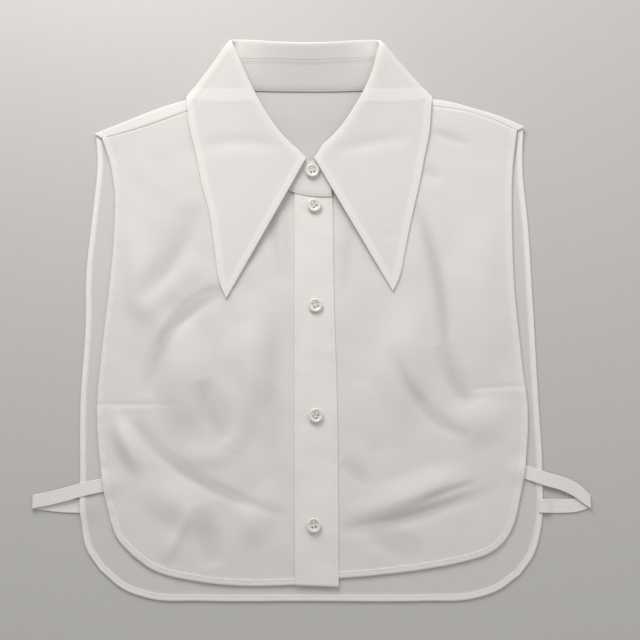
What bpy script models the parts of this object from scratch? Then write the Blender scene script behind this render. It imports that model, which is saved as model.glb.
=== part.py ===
"""A detachable shirt front with a long pointed collar, buttoned and laid flat on its back.

The back panel rests on the ground. The two fronts lie on it, and a placket closes them.
The collar's band leans up from the neck seam and its leaf folds over the band, so that the
leaf lies above the fronts and below the neck of the back. X runs across, Y from the hem to
the collar and Z up, with the origin under the middle of the laid-out piece. Sizes and
places are in millimetres, and each mesh is scaled to metres as it is made.
"""

from collections import namedtuple
import math

import bmesh
import bpy
import numpy as np

MM = 0.001

# Cloth walls, hems, and the clearances between layers and along seams
WALL = 1.0
HEM_WALL = 1.3
HEM_WIDTH = 4.2
HEM_STEP = 0.6
BAND_WALL = 1.2
LEAF_WALL = 1.0
PLACKET_WALL = 1.2
LAYER_GAP = 0.6
SEAM_GAP = 0.5
LEAF_GAP = 1.0
NECK_GAP = 0.7
TOUCH_GAP = 0.3

# The back panel climbs on to the back edge of the collar, which lies under it
CLIMB_HEIGHT = 1.5
CLIMB_START = 116.0
CLIMB_END = 162.0

# Height of each layer's underside where nothing lifts it
FRONT_BASE = WALL + LAYER_GAP
PLACKET_BASE = FRONT_BASE + HEM_WALL + TOUCH_GAP

# Faces along and across each piece
BACK_ACROSS = 22
BACK_UP = 18
SHOULDER_FACES = 6
TURN_FACES = 4
FRONT_ACROSS = 20
FRONT_UP = 24
PLACKET_FACES = (4, 14)
FACES_PER_SECTION = 3
LEAF_FACES = 6
BAND_FACES = 4
FOLD_FACES = 4

# Outlines in plan, each a smooth curve through its points. Sides run up from the hem's corner.
BACK_LEFT = (
    (-153.3, -196.0), (-163.5, -182.0), (-169.0, -160.0), (-171.8, -120.0), (-174.0, -72.0),
    (-173.2, -15.0), (-174.8, 21.0), (-172.0, 80.0), (-170.6, 118.0), (-173.0, 139.5),
)
BACK_HEM = (
    (-153.3, -196.0), (-137.0, -208.8), (-116.0, -216.0), (-80.0, -217.5), (-4.0, -217.6),
    (85.0, -217.5), (114.0, -216.4), (134.0, -210.6), (151.0, -199.4),
)
BACK_RIGHT = (
    (151.0, -199.4), (161.5, -185.5), (168.0, -166.0), (170.8, -130.0), (170.5, -70.0),
    (169.9, 5.0), (169.1, 65.0), (167.0, 112.0), (168.9, 145.5),
)
BACK_NECK = (
    (-83.5, 172.0), (-81.6, 178.0), (-73.0, 182.4), (-40.0, 181.2), (-4.0, 180.6), (35.0, 181.2),
    (70.0, 182.2), (78.4, 177.8), (80.0, 171.5),
)
FOLD_LEFT = ((-173.0, 139.5), (-146.0, 151.0), (-116.0, 163.2), (-100.9, 167.9), (-83.5, 172.0))
FOLD_RIGHT = ((80.0, 171.5), (95.0, 168.9), (110.4, 166.4), (126.8, 161.6), (150.6, 153.9), (168.9, 145.5))
SEAM_LEFT = ((-167.5, 136.2), (-145.6, 142.0), (-121.9, 150.2), (-100.6, 158.5), (-78.4, 167.0))
SEAM_RIGHT = ((75.4, 166.0), (96.0, 163.4), (122.7, 159.4), (150.4, 149.4), (163.4, 142.6))

FRONT_LEFT_SIDE = (
    (-130.0, -185.8), (-141.0, -174.5), (-149.5, -153.0), (-157.0, -118.0), (-161.0, -80.0),
    (-159.5, -35.0), (-156.5, 10.0), (-154.6, 55.0), (-155.7, 92.0), (-161.0, 118.0), (-167.5, 136.2),
)
FRONT_LEFT_HEM = ((-130.0, -185.8), (-117.0, -194.7), (-80.4, -204.2), (-51.5, -206.9), (-8.0, -206.3))
FRONT_RIGHT_SIDE = (
    (134.0, -182.0), (144.7, -169.8), (153.5, -144.0), (160.4, -105.0), (162.0, -84.0),
    (159.5, -46.0), (156.1, 15.0), (156.5, 68.0), (158.6, 108.0), (163.4, 142.6),
)
FRONT_RIGHT_HEM = ((-7.4, -203.4), (49.6, -199.3), (85.8, -194.8), (114.9, -189.0), (134.0, -182.0))
MEET_LEFT = -8.0
MEET_RIGHT = -7.4
PLACKET_LEFT = ((-11.6, -206.4), (-12.9, -72.0), (-13.6, 60.0), (-14.0, 88.7))
PLACKET_RIGHT = ((19.6, -207.6), (18.9, -72.0), (16.9, 4.0), (16.0, 86.1))

# Sections round the collar, from the end of the band that lies on top to the end below.
# Seam is where the band's outer face meets the neck, fold the crest that the leaf turns over,
# and edge the leaf's own edge; the band's two ends carry no leaf. Fall is how steeply the leaf
# drops from the fold, roll its depth inside the fold, and bend half the fold's thickness.
Section = namedtuple("Section", "seam fold edge fall roll bend")
Station = namedtuple("Station", "seam fold edge fall roll bend inward back above")
BAND_END_ABOVE = Section((15.5, 87.3, 5.0), (14.0, 122.5, 7.4), (15.5, 87.3, 5.0), 1.0, 4.0, 1.8)
BAND_END_BELOW = Section((-10.5, 90.2, 2.9), (-9.0, 123.5, 5.2), (-10.5, 90.2, 2.9), 1.0, 4.0, 1.8)
LEFT_FRONT = (
    Section((0.5, 87.8, 4.9), (-4.8, 118.8, 7.5), (-65.8, 5.6, 4.4), 1.0, 3.0, 1.8),
    Section((-12.0, 90.0, 4.9), (-10.0, 124.2, 7.6), (-71.5, 20.0, 4.3), 1.0, 4.0, 1.8),
    Section((-26.0, 97.0, 4.1), (-17.8, 131.2, 8.1), (-75.3, 44.0, 4.3), 1.0, 4.0, 1.8),
    Section((-39.0, 108.3, 3.6), (-25.8, 140.0, 8.9), (-79.8, 72.0, 4.3), 1.0, 4.0, 1.8),
    Section((-54.0, 127.0, 4.0), (-35.2, 153.5, 10.2), (-86.6, 97.0, 4.3), 1.0, 4.0, 1.8),
    Section((-66.0, 145.0, 4.8), (-43.2, 167.5, 11.8), (-92.0, 122.0, 4.7), 1.0, 4.5, 1.8),
    Section((-73.0, 158.0, 5.3), (-51.5, 184.0, 13.6), (-97.2, 143.0, 5.6), 1.0, 5.0, 1.7),
)
LEFT_CORNER = (
    Section((-76.9, 165.5, 5.9), (-60.4, 205.0, 15.7), (-99.2, 156.0, 6.2), 1.0, 6.0, 1.5),
    Section((-79.2, 170.0, 5.9), (-63.4, 211.0, 16.1), (-100.2, 165.0, 6.4), 1.0, 6.5, 1.3),
    Section((-80.2, 174.3, 4.3), (-64.8, 215.3, 14.3), (-101.0, 171.8, 4.2), 1.3, 7.0, 1.3),
    Section((-78.8, 177.8, 3.0), (-63.4, 217.4, 11.9), (-99.4, 173.4, 1.0), 2.5, 7.5, 1.3),
    Section((-75.2, 179.3, 2.9), (-60.0, 217.8, 10.9), (-93.0, 171.6, 0.0), 4.5, 8.0, 1.4),
)
NAPE = (
    Section((-61.0, 178.4, 2.8), (-50.0, 216.6, 12.6), (-72.0, 169.0, 0.0), 5.0, 12.0, 1.6),
    Section((-35.0, 177.2, 2.9), (-30.0, 213.8, 15.2), (-38.0, 168.0, 0.0), 5.0, 14.0, 1.8),
    Section((-4.0, 176.8, 2.9), (-6.0, 212.6, 16.0), (-4.0, 167.6, 0.0), 5.0, 14.0, 1.8),
    Section((29.0, 177.2, 2.9), (20.0, 213.8, 15.2), (32.0, 168.0, 0.0), 5.0, 14.0, 1.8),
    Section((56.0, 178.4, 2.8), (36.5, 216.4, 12.4), (66.0, 169.0, 0.0), 5.0, 12.0, 1.6),
)
RIGHT_CORNER = (
    Section((69.0, 179.2, 2.9), (45.8, 217.8, 10.2), (87.0, 171.6, 0.0), 4.5, 8.0, 1.4),
    Section((73.8, 177.8, 3.0), (50.2, 217.6, 10.8), (94.0, 173.4, 1.0), 2.5, 7.5, 1.3),
    Section((77.3, 174.6, 4.1), (53.5, 215.6, 13.2), (96.0, 171.8, 4.2), 1.3, 7.0, 1.3),
    Section((77.4, 170.6, 5.7), (53.6, 211.5, 15.8), (95.4, 165.0, 6.4), 1.0, 6.5, 1.3),
    Section((75.2, 166.5, 6.1), (52.0, 205.0, 15.9), (94.6, 155.0, 6.2), 1.0, 6.0, 1.5),
)
RIGHT_FRONT = (
    Section((71.0, 158.4, 5.3), (46.6, 186.0, 13.6), (92.8, 139.0, 5.5), 1.0, 5.0, 1.7),
    Section((64.0, 148.6, 4.8), (39.3, 170.4, 11.8), (89.0, 121.0, 4.7), 1.0, 4.5, 1.8),
    Section((55.0, 136.5, 4.0), (31.8, 157.6, 10.2), (85.0, 101.0, 4.3), 1.0, 4.0, 1.8),
    Section((43.0, 120.5, 3.3), (22.5, 144.0, 9.0), (78.3, 73.0, 4.3), 1.0, 4.0, 1.8),
    Section((32.5, 109.5, 3.0), (14.0, 134.5, 8.1), (72.1, 44.0, 4.3), 1.0, 4.0, 2.0),
    Section((22.0, 98.5, 2.9), (8.0, 129.0, 7.1), (67.8, 24.0, 4.3), 1.0, 4.0, 2.3),
    Section((12.0, 91.5, 3.0), (1.3, 119.0, 6.4), (62.3, 11.3, 4.4), 1.0, 3.0, 2.6),
)
SECTIONS = (
    BAND_END_ABOVE, *LEFT_FRONT, *LEFT_CORNER, *NAPE, *RIGHT_CORNER, *RIGHT_FRONT, BAND_END_BELOW,
)

# Soft humps that the bust darts, and the way the piece was laid, leave in the fronts. Each is
# an oval, turned by so many degrees from the X axis, that rises to its height in the middle.
Hump = namedtuple("Hump", "x y half_length half_width turn height")
LEFT_HUMPS = (
    Hump(-98.0, -52.0, 58.0, 26.0, 98.0, 6.0),
    Hump(-133.0, 22.0, 62.0, 19.0, 100.0, 3.5),
    Hump(-46.0, -40.0, 70.0, 26.0, 84.0, 3.5),
    Hump(-137.0, -106.0, 30.0, 13.0, 118.0, 3.0),
    Hump(-96.0, -150.0, 42.0, 22.0, 150.0, 3.0),
    Hump(-42.0, -160.0, 34.0, 20.0, 60.0, 2.5),
)
RIGHT_HUMPS = (
    Hump(72.0, -46.0, 62.0, 24.0, 84.0, 5.0),
    Hump(130.0, 10.0, 76.0, 20.0, 92.0, 4.5),
    Hump(123.0, -88.0, 30.0, 22.0, 20.0, 3.5),
    Hump(76.0, -142.0, 54.0, 14.0, 18.0, 4.5),
)

# Shell buttons with four holes: the band's is tilted with the band
BUTTON_RADIUS = 5.5
BUTTON_HEIGHT = 2.2
BUTTON_DISH = 0.5
BUTTON_STEPS = 24
HOLE_RADIUS = 0.8
HOLE_PITCH = 1.5
HOLE_STEPS = 8
BUTTON_SEAT = PLACKET_BASE + PLACKET_WALL + TOUCH_GAP
Button = namedtuple("Button", "name x y z tilt")
BUTTONS = (
    Button("band_button", 0.2, 107.6, 6.8, 4.0),
    Button("button_1", 1.9, 79.8, BUTTON_SEAT, 0.0),
    Button("button_2", 2.8, -0.3, BUTTON_SEAT, 0.0),
    Button("button_3", 3.2, -84.5, BUTTON_SEAT, 0.0),
    Button("button_4", 1.8, -164.3, BUTTON_SEAT, 0.0),
)

# Elastic straps. Each runs from the side of its front out to a fold and back in to the hem
# of the back, along the middle of its outer face: the upper one out, the lower one back.
STRAP_WALL = 1.0
STRAP_WIDTH = 9.6
STRAP_TURN = 1.2
STRAP_TURN_FACES = 6
Strap = namedtuple("Strap", "name out back")
STRAPS = (
    Strap(
        "strap_left",
        ((-154.6, -136.0, 2.9), (-163.0, -137.4, 2.9), (-172.0, -139.7, 2.9), (-182.0, -142.5, 2.8),
         (-193.0, -145.2, 2.4), (-204.3, -147.4, 2.4)),
        ((-204.3, -147.4, 0.0), (-193.0, -149.2, 0.0), (-182.0, -150.3, 0.0), (-177.4, -150.6, 0.0),
         (-172.8, -150.7, 1.7), (-164.8, -150.7, 1.7)),
    ),
    Strap(
        "strap_right",
        ((159.8, -126.6, 2.9), (165.6, -128.6, 2.9), (172.5, -131.2, 2.9), (184.0, -134.2, 2.8),
         (193.5, -138.4, 2.4), (204.3, -147.0, 2.4)),
        ((204.3, -147.0, 0.0), (194.5, -149.9, 0.0), (184.0, -150.7, 0.0), (177.4, -150.7, 0.0),
         (172.8, -150.6, 1.7), (165.6, -150.4, 1.7)),
    ),
)

# Colour and roughness of each material
COLOURS = {
    "cotton": ((0.86, 0.86, 0.84), 0.85),
    "cotton_back": ((0.74, 0.74, 0.75), 0.85),
    "collar_cotton": ((0.90, 0.90, 0.89), 0.80),
    "shell": ((0.88, 0.87, 0.83), 0.25),
    "elastic": ((0.88, 0.88, 0.87), 0.90),
}


def start_scene():
    for found in list(bpy.data.objects):
        bpy.data.objects.remove(found)
    garment = bpy.data.collections.new("detachable_collar")
    cutters = bpy.data.collections.new("cutters")
    for made in (garment, cutters):
        bpy.context.scene.collection.children.link(made)
    return garment, cutters


def material(name):
    found = bpy.data.materials.get(name)
    if found:
        return found
    colour, roughness = COLOURS[name]
    made = bpy.data.materials.new(name)
    made.use_nodes = True
    shader = made.node_tree.nodes["Principled BSDF"]
    shader.inputs["Base Color"].default_value = (*colour, 1.0)
    shader.inputs["Roughness"].default_value = roughness
    return made


def through(rows, faces, measured=None):
    """The rows, with so many faces from each to the next, on a smooth curve through them."""
    rows = np.asarray(rows, float)
    steps = np.linalg.norm(np.diff(rows[:, :measured], axis=0), axis=1)
    knots = np.concatenate([[0.0], np.cumsum(steps)])
    slopes = np.gradient(rows, knots, axis=0)
    found = []
    for start, span in enumerate(steps):
        for t in np.arange(faces) / faces:
            found.append(
                (2 * t**3 - 3 * t**2 + 1) * rows[start]
                + (t**3 - 2 * t**2 + t) * span * slopes[start]
                + (3 * t**2 - 2 * t**3) * rows[start + 1]
                + (t**3 - t**2) * span * slopes[start + 1]
            )
    return np.array([*found, rows[-1]])


def evenly(points, faces, start=0.0):
    """faces + 1 points evenly along a smooth curve through the given ones, from a start on it."""
    fine = through(points, 12)
    along = np.concatenate([[0.0], np.cumsum(np.linalg.norm(np.diff(fine, axis=0), axis=1))])
    wanted = np.linspace(start, along[-1], faces + 1)
    return np.stack([np.interp(wanted, along, column) for column in fine.T], axis=1)


def joined(*stretches):
    """One line from stretches that share their ends."""
    return np.concatenate([stretches[0], *[stretch[1:] for stretch in stretches[1:]]])


def moved_left(line, distance):
    """A plan line moved square to itself, to the left of the way it runs."""
    along = np.gradient(line, axis=0)
    along /= np.linalg.norm(along, axis=1)[:, None]
    return line + distance * np.stack([-along[:, 1], along[:, 0]], axis=1)


def patch(bottom, top, left, right):
    """Rows of plan points that fill the four edges, which meet at their ends."""
    u = np.linspace(0.0, 1.0, len(bottom))[None, :, None]
    v = np.linspace(0.0, 1.0, len(left))[:, None, None]
    across = (1 - v) * bottom[None] + v * top[None]
    upward = (1 - u) * left[:, None] + u * right[:, None]
    corners = (1 - v) * ((1 - u) * bottom[0] + u * bottom[-1]) + v * ((1 - u) * top[0] + u * top[-1])
    return across + upward - corners


def climb(y):
    """How far the layers are lifted by the collar's back edge."""
    t = min(max((y - CLIMB_START) / (CLIMB_END - CLIMB_START), 0.0), 1.0)
    return CLIMB_HEIGHT * t * t * (3 - 2 * t)


def hump_height(x, y, humps):
    total = 0.0
    for hump in humps:
        turn = math.radians(hump.turn)
        along = (x - hump.x) * math.cos(turn) + (y - hump.y) * math.sin(turn)
        across = (y - hump.y) * math.cos(turn) - (x - hump.x) * math.sin(turn)
        reach = min(math.hypot(along / hump.half_length, across / hump.half_width), 1.0)
        total += hump.height * math.cos(reach * math.pi / 2) ** 2
    return total


class Surface:
    """The points and quads of one open surface, in millimetres."""

    def __init__(self):
        self.points = []
        self.faces = []

    def add(self, points):
        """Adds a line or a grid of points and gives their numbers in the same shape."""
        points = np.asarray(points, float)
        first = len(self.points)
        self.points.extend(points.reshape(-1, 3).tolist())
        return np.arange(first, len(self.points)).reshape(points.shape[:-1])

    def weave(self, rows):
        """Fills quads between neighbouring rows of point numbers."""
        for low, high in zip(rows[:-1], rows[1:]):
            for a, b, c, d in zip(low[:-1], low[1:], high[1:], high[:-1]):
                self.faces.append((int(a), int(b), int(c), int(d)))

    def solid(self, name, wall, material_name, thick=()):
        """A wall grown from the surface, with the points in thick grown to the hem's wall."""
        mesh = bpy.data.meshes.new(name)
        mesh.from_pydata((np.array(self.points) * MM).tolist(), [], self.faces)
        mesh.shade_smooth()
        made = add_object(name, mesh, material_name)
        grown = made.modifiers.new("Wall", "SOLIDIFY")
        grown.offset = 1.0
        grown.thickness = wall * MM
        if len(thick):
            hem = made.vertex_groups.new(name="hem")
            hem.add([int(number) for number in thick], 1.0, "REPLACE")
            grown.thickness = HEM_WALL * MM
            grown.vertex_group = hem.name
            grown.thickness_vertex_group = wall / HEM_WALL
        return made


def add_object(name, mesh, material_name):
    mesh.materials.clear()
    mesh.materials.append(material(material_name))
    made = bpy.data.objects.new(name, mesh)
    garment.objects.link(made)
    return made


def lifted(plan, height):
    """Plan points with the height that a function gives each of them."""
    plan = np.asarray(plan)
    flat = plan.reshape(-1, 2)
    heights = np.array([[height(x, y)] for x, y in flat])
    return np.concatenate([flat, heights], axis=1).reshape(*plan.shape[:-1], 3)


def hem_lines(outline, start_edge, end_edge):
    """The hemmed outline, the hem's inner line and the panel's own, ending on its two edges."""
    lines = []
    for distance in (0.0, HEM_WIDTH, HEM_WIDTH + HEM_STEP):
        line = moved_left(outline, distance)
        line[0] = evenly(start_edge, 1, distance)[0]
        line[-1] = evenly(end_edge, 1, distance)[0]
        lines.append(line)
    return lines


def back_panel():
    """The back, hemmed all round, with its shoulders folded forward to the shoulder seams."""
    surface = Surface()
    left = evenly(BACK_LEFT, BACK_UP)
    hem = evenly(BACK_HEM, BACK_ACROSS)
    right = evenly(BACK_RIGHT, BACK_UP)
    outline = joined(left[::-1], hem, right)
    outer, stitched, inner = hem_lines(outline, FOLD_LEFT, FOLD_RIGHT[::-1])
    border = HEM_WIDTH + HEM_STEP
    top = joined(
        evenly(FOLD_LEFT, SHOULDER_FACES, border),
        evenly(BACK_NECK, BACK_ACROSS - 2 * SHOULDER_FACES),
        evenly(FOLD_RIGHT[::-1], SHOULDER_FACES, border)[::-1],
    )
    corner = BACK_UP, BACK_UP + BACK_ACROSS
    plan = patch(inner[corner[0] : corner[1] + 1], top, inner[corner[0] :: -1], inner[corner[1] :])

    def height(x, y):
        return climb(y)

    body = surface.add(lifted(plan, height))
    surface.weave(body)
    ring = np.concatenate([body[::-1, 0], body[0, 1:-1], body[:, -1]])
    stitched_ring = surface.add(lifted(stitched, height))
    outer_ring = surface.add(lifted(outer, height))
    surface.weave([outer_ring, stitched_ring, ring])

    tips = [outer_ring[0], stitched_ring[0]], [stitched_ring[-1], outer_ring[-1]]
    left_top = np.array([*tips[0], *body[-1, : SHOULDER_FACES + 1]])
    right_top = np.array([*body[-1, -SHOULDER_FACES - 1 :], *tips[1]])
    for crest, seam in ((left_top, SEAM_LEFT), (right_top, SEAM_RIGHT)):
        fold_shoulder(surface, crest, seam)
    thick = [number for number in (*outer_ring[2:-2], *stitched_ring[2:-2])]
    return surface.solid("back_panel", WALL, "cotton_back", thick)


def fold_shoulder(surface, crest, seam):
    """Turns the back over its shoulder fold and on to the seam, SEAM_GAP short of the front."""
    bottom = np.array([surface.points[number] for number in crest])
    radius = (FRONT_BASE + WALL) / 2
    away = moved_left(bottom[::-1, :2], 1.0)[::-1] - bottom[:, :2]
    away = -away if away[len(away) // 2][1] < 0 else away
    share = np.linalg.norm(bottom[:, :2] - bottom[0, :2], axis=1)
    share = share / share[-1]
    seam_line = evenly(seam, 48)
    seam_line = moved_left(seam_line, SEAM_GAP)
    seam_along = np.linspace(0.0, 1.0, len(seam_line))
    target = np.stack([np.interp(share, seam_along, column) for column in seam_line.T], axis=1)
    rows = [crest]
    for step in range(1, TURN_FACES + 1):
        angle = math.pi * step / TURN_FACES
        turned = bottom.copy()
        turned[:, :2] += away * radius * math.sin(angle)
        turned[:, 2] += radius * (1 - math.cos(angle))
        rows.append(surface.add(turned))
    rows.append(surface.add(lifted(target, lambda x, y: climb(y) + 2 * radius)))
    surface.weave(rows)


def neck_line(ring, distance):
    """A front's neck edge: the band's seam over these stations, moved to its left."""
    return moved_left(np.array([at.seam[:2] for at in ring]), distance)


def from_x(line, x):
    """The part of a line beyond its crossing of a line square to X, on the side of its far end."""
    far = line[-1][0] > x
    crossing = next(i for i, point in enumerate(line) if (point[0] > x) == far)
    before, after = line[max(crossing - 1, 0)], line[crossing]
    share = (x - before[0]) / (after[0] - before[0]) if crossing else 0.0
    return np.concatenate([[before + share * (after - before)], line[crossing:]])


def front_panel(name, side_points, hem_points, seam_points, neck, meet, humps, is_left):
    """A front, hemmed at its side and hem, from the shoulder seam round the neck to the middle."""
    surface = Surface()
    side = evenly(side_points, FRONT_UP)
    hem = evenly(hem_points, FRONT_ACROSS)
    neck_faces = FRONT_ACROSS - SHOULDER_FACES
    shoulder = evenly(seam_points, SHOULDER_FACES, HEM_WIDTH + HEM_STEP)
    neck = from_x(neck, meet)
    neck[-1] = shoulder[-1]
    rim = evenly(neck, neck_faces)
    middle = np.array([hem[-1] if is_left else hem[0], rim[0]])
    meet_line = evenly(middle, FRONT_UP, HEM_WIDTH + HEM_STEP)
    if is_left:
        outer, stitched, inner = hem_lines(joined(side[::-1], hem), seam_points, middle)
        top = joined(shoulder, rim[::-1])
        plan = patch(inner[FRONT_UP:], top, inner[FRONT_UP::-1], meet_line)
    else:
        outer, stitched, inner = hem_lines(joined(hem, side), middle, seam_points)
        top = joined(rim, shoulder[::-1])
        plan = patch(inner[: FRONT_ACROSS + 1], top, meet_line, inner[FRONT_ACROSS:])

    def height(x, y):
        return FRONT_BASE + climb(y) + hump_height(x, y, humps)

    body = surface.add(lifted(plan, height))
    surface.weave(body)
    ring = np.concatenate([body[::-1, 0], body[0, 1:]] if is_left else [body[0], body[1:, -1]])
    stitched_ring = surface.add(lifted(stitched, height))
    outer_ring = surface.add(lifted(outer, height))
    surface.weave([outer_ring, stitched_ring, ring])
    return surface.solid(name, WALL, "cotton", [*outer_ring, *stitched_ring])


def placket():
    """The folded band that is stitched to the left front and lies over the right one."""
    surface = Surface()
    across, along = PLACKET_FACES
    left, right = evenly(PLACKET_LEFT, along), evenly(PLACKET_RIGHT, along)
    share = np.linspace(0.0, 1.0, across + 1)[None, :, None]
    plan = (1 - share) * left[:, None] + share * right[:, None]
    surface.weave(surface.add(lifted(plan, lambda x, y: PLACKET_BASE)))
    return surface.solid("placket", PLACKET_WALL, "cotton")


def unit(vectors):
    return vectors / np.linalg.norm(vectors, axis=-1, keepdims=True)


def stations():
    """The sections filled in between, each with the directions that its cloth runs in."""
    table = [[*s.seam, *s.fold, *s.edge, s.fall, s.roll, s.bend] for s in SECTIONS]
    rows = through(table, FACES_PER_SECTION, measured=6)
    seam, fold, edge = rows[:, 0:3], rows[:, 3:6], rows[:, 6:9]
    leaf_rows = through(table[1:-1], FACES_PER_SECTION, measured=6)
    edge[FACES_PER_SECTION:-FACES_PER_SECTION] = leaf_rows[:, 6:9]
    edge[:, 2] = np.maximum(edge[:, 2], 0.0)
    inward = unit(seam - fold)
    back = unit(inward + unit((edge - fold) * (1, 1, 0)))
    above = unit(np.cross(np.gradient(seam + fold, axis=0), back))
    return [Station(*at) for at in zip(seam, fold, edge, *rows[:, 9:].T, inward, back, above)]


def collar_leaf(ring):
    """The leaf: its depth inside the fold, the rounded fold, and the long fall to its edge."""
    surface = Surface()
    rows = []
    for at in ring[FACES_PER_SECTION:-FACES_PER_SECTION]:
        centre = at.fold + at.bend * at.back
        row = [at.fold + at.roll * at.inward - at.bend * at.above]
        for step in range(FOLD_FACES + 1):
            angle = math.pi * step / FOLD_FACES
            row.append(centre - at.bend * (math.cos(angle) * at.above + math.sin(angle) * at.back))
        crest = row[-1]
        for step in range(1, LEAF_FACES + 1):
            share = (step / LEAF_FACES) ** 1.3
            point = crest + share * (at.edge - crest)
            point[2] = at.edge[2] + (crest[2] - at.edge[2]) * (1 - share) ** at.fall
            row.append(point)
        rows.append(row)
    surface.weave(surface.add(rows))
    return surface.solid("collar_leaf", LEAF_WALL, "collar_cotton")


def collar_band(ring):
    """The band that stands on the neck seam and carries the leaf along its upper edge."""
    surface = Surface()
    rows = []
    for at in ring:
        top = at.fold + (at.roll + LEAF_GAP) * at.inward - (at.bend - BAND_WALL) * at.above
        share = np.linspace(0.0, 1.0, BAND_FACES + 1)[:, None]
        rows.append((1 - share) * top + share * at.seam)
    surface.weave(surface.add(rows))
    return surface.solid("collar_band", BAND_WALL, "collar_cotton")


def elastic_strap(strap):
    """A flat elastic, folded once at its far end."""
    surface = Surface()
    out, back = np.array(strap.out), np.array(strap.back)
    end = out[-1]
    outward = np.array([math.copysign(1.0, end[0]), 0.0, 0.0])
    turn = []
    for step in range(1, STRAP_TURN_FACES):
        angle = math.pi * step / STRAP_TURN_FACES
        turn.append(end + STRAP_TURN * (outward * math.sin(angle) + np.array([0, 0, math.cos(angle) - 1])))
    path = np.array([*out, *turn, *back])
    heading = np.concatenate([np.gradient(out, axis=0), turn, np.gradient(back[::-1], axis=0)[::-1]])
    heading[len(out) - 1 : len(out) + len(turn) + 1] = outward
    square = unit(np.stack([-heading[:, 1], heading[:, 0], np.zeros(len(heading))], axis=1))
    share = np.linspace(-0.5, 0.5, 3)[:, None]
    surface.weave(surface.add([centre + share * STRAP_WIDTH * side for centre, side in zip(path, square)]))
    return surface.solid(strap.name, STRAP_WALL, "elastic")


def button_mesh(cutters):
    """A turned disc with a dished face and four holes through it, its seat at the origin."""
    rim = BUTTON_HEIGHT / 2
    profile = (
        (0.0, BUTTON_HEIGHT - BUTTON_DISH),
        (BUTTON_RADIUS * 0.62, BUTTON_HEIGHT - BUTTON_DISH),
        (BUTTON_RADIUS * 0.78, BUTTON_HEIGHT),
        (BUTTON_RADIUS * 0.9, BUTTON_HEIGHT),
        (BUTTON_RADIUS, rim),
        (BUTTON_RADIUS * 0.88, 0.0),
        (0.0, 0.0),
    )
    mesh = bpy.data.meshes.new("button_profile")
    points = [(x * MM, 0.0, z * MM) for x, z in profile]
    mesh.from_pydata(points, [(i, i + 1) for i in range(len(points) - 1)], [])
    blank = bpy.data.objects.new("button_blank", mesh)
    cutters.objects.link(blank)
    turned = blank.modifiers.new("Turn", "SCREW")
    turned.steps = turned.render_steps = BUTTON_STEPS
    turned.use_merge_vertices = True
    turned.merge_threshold = 0.00001
    drill = bpy.data.objects.new("button_holes", hole_mesh())
    cutters.objects.link(drill)
    cut = blank.modifiers.new("Holes", "BOOLEAN")
    cut.operation = "DIFFERENCE"
    cut.object = drill
    bpy.context.view_layer.update()
    made = bpy.data.meshes.new_from_object(blank.evaluated_get(bpy.context.evaluated_depsgraph_get()))
    for helper in (blank, drill):
        helper.hide_render = True
        helper.display_type = "WIRE"
    made.name = "button"
    made.shade_smooth()
    made.set_sharp_from_angle(angle=math.radians(35))
    return made


def hole_mesh():
    """Four pins in a square, longer than the button is thick."""
    pins = bmesh.new()
    for x in (-1, 1):
        for y in (-1, 1):
            made = bmesh.ops.create_cone(
                pins, cap_ends=True, segments=HOLE_STEPS, radius1=HOLE_RADIUS * MM,
                radius2=HOLE_RADIUS * MM, depth=3 * BUTTON_HEIGHT * MM,
            )
            bmesh.ops.translate(
                pins, verts=made["verts"],
                vec=(x * HOLE_PITCH * MM, y * HOLE_PITCH * MM, BUTTON_HEIGHT / 2 * MM),
            )
    mesh = bpy.data.meshes.new("button_holes")
    pins.to_mesh(mesh)
    pins.free()
    return mesh


garment, cutters = start_scene()
collar = stations()
left_neck = collar[FACES_PER_SECTION : (len(LEFT_FRONT) + 1) * FACES_PER_SECTION + 1]
right_neck = collar[: -(len(RIGHT_FRONT) + 1) * FACES_PER_SECTION - 2 : -1]
back_panel()
front_panel("front_left", FRONT_LEFT_SIDE, FRONT_LEFT_HEM, SEAM_LEFT,
            neck_line(left_neck, NECK_GAP), MEET_LEFT, LEFT_HUMPS, True)
front_panel("front_right", FRONT_RIGHT_SIDE, FRONT_RIGHT_HEM, SEAM_RIGHT[::-1],
            neck_line(right_neck, -NECK_GAP), MEET_RIGHT, RIGHT_HUMPS, False)
placket()
collar_band(collar)
collar_leaf(collar)
for strap in STRAPS:
    elastic_strap(strap)
shared_button = button_mesh(cutters)
for button in BUTTONS:
    made = add_object(button.name, shared_button, "shell")
    made.location = (button.x * MM, button.y * MM, button.z * MM)
    made.rotation_euler = (math.radians(button.tilt), 0.0, 0.0)
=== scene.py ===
"""A detachable shirt front with a long pointed collar, in thin white cotton, as it is laid out flat.

It lies on its back, buttoned. X runs across, Y from the hem to the collar and Z up. Sizes and
places are in millimetres, and each mesh is scaled to metres as it is made.
"""

from collections import namedtuple
import math

import bpy
import numpy as np
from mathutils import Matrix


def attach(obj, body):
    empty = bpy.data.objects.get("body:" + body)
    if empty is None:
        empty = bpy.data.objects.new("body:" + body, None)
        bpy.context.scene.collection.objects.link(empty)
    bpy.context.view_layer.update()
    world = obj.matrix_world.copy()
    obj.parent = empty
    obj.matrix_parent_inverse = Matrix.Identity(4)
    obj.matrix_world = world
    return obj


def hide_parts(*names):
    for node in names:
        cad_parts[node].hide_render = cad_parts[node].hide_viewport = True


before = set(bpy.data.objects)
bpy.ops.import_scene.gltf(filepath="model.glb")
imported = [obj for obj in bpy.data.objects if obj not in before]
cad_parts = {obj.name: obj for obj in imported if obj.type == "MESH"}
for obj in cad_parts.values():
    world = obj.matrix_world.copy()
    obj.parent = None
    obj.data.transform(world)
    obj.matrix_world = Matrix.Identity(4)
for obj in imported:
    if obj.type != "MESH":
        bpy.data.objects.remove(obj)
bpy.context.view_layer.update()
scene = bpy.context.scene
MM = 0.001

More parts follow.
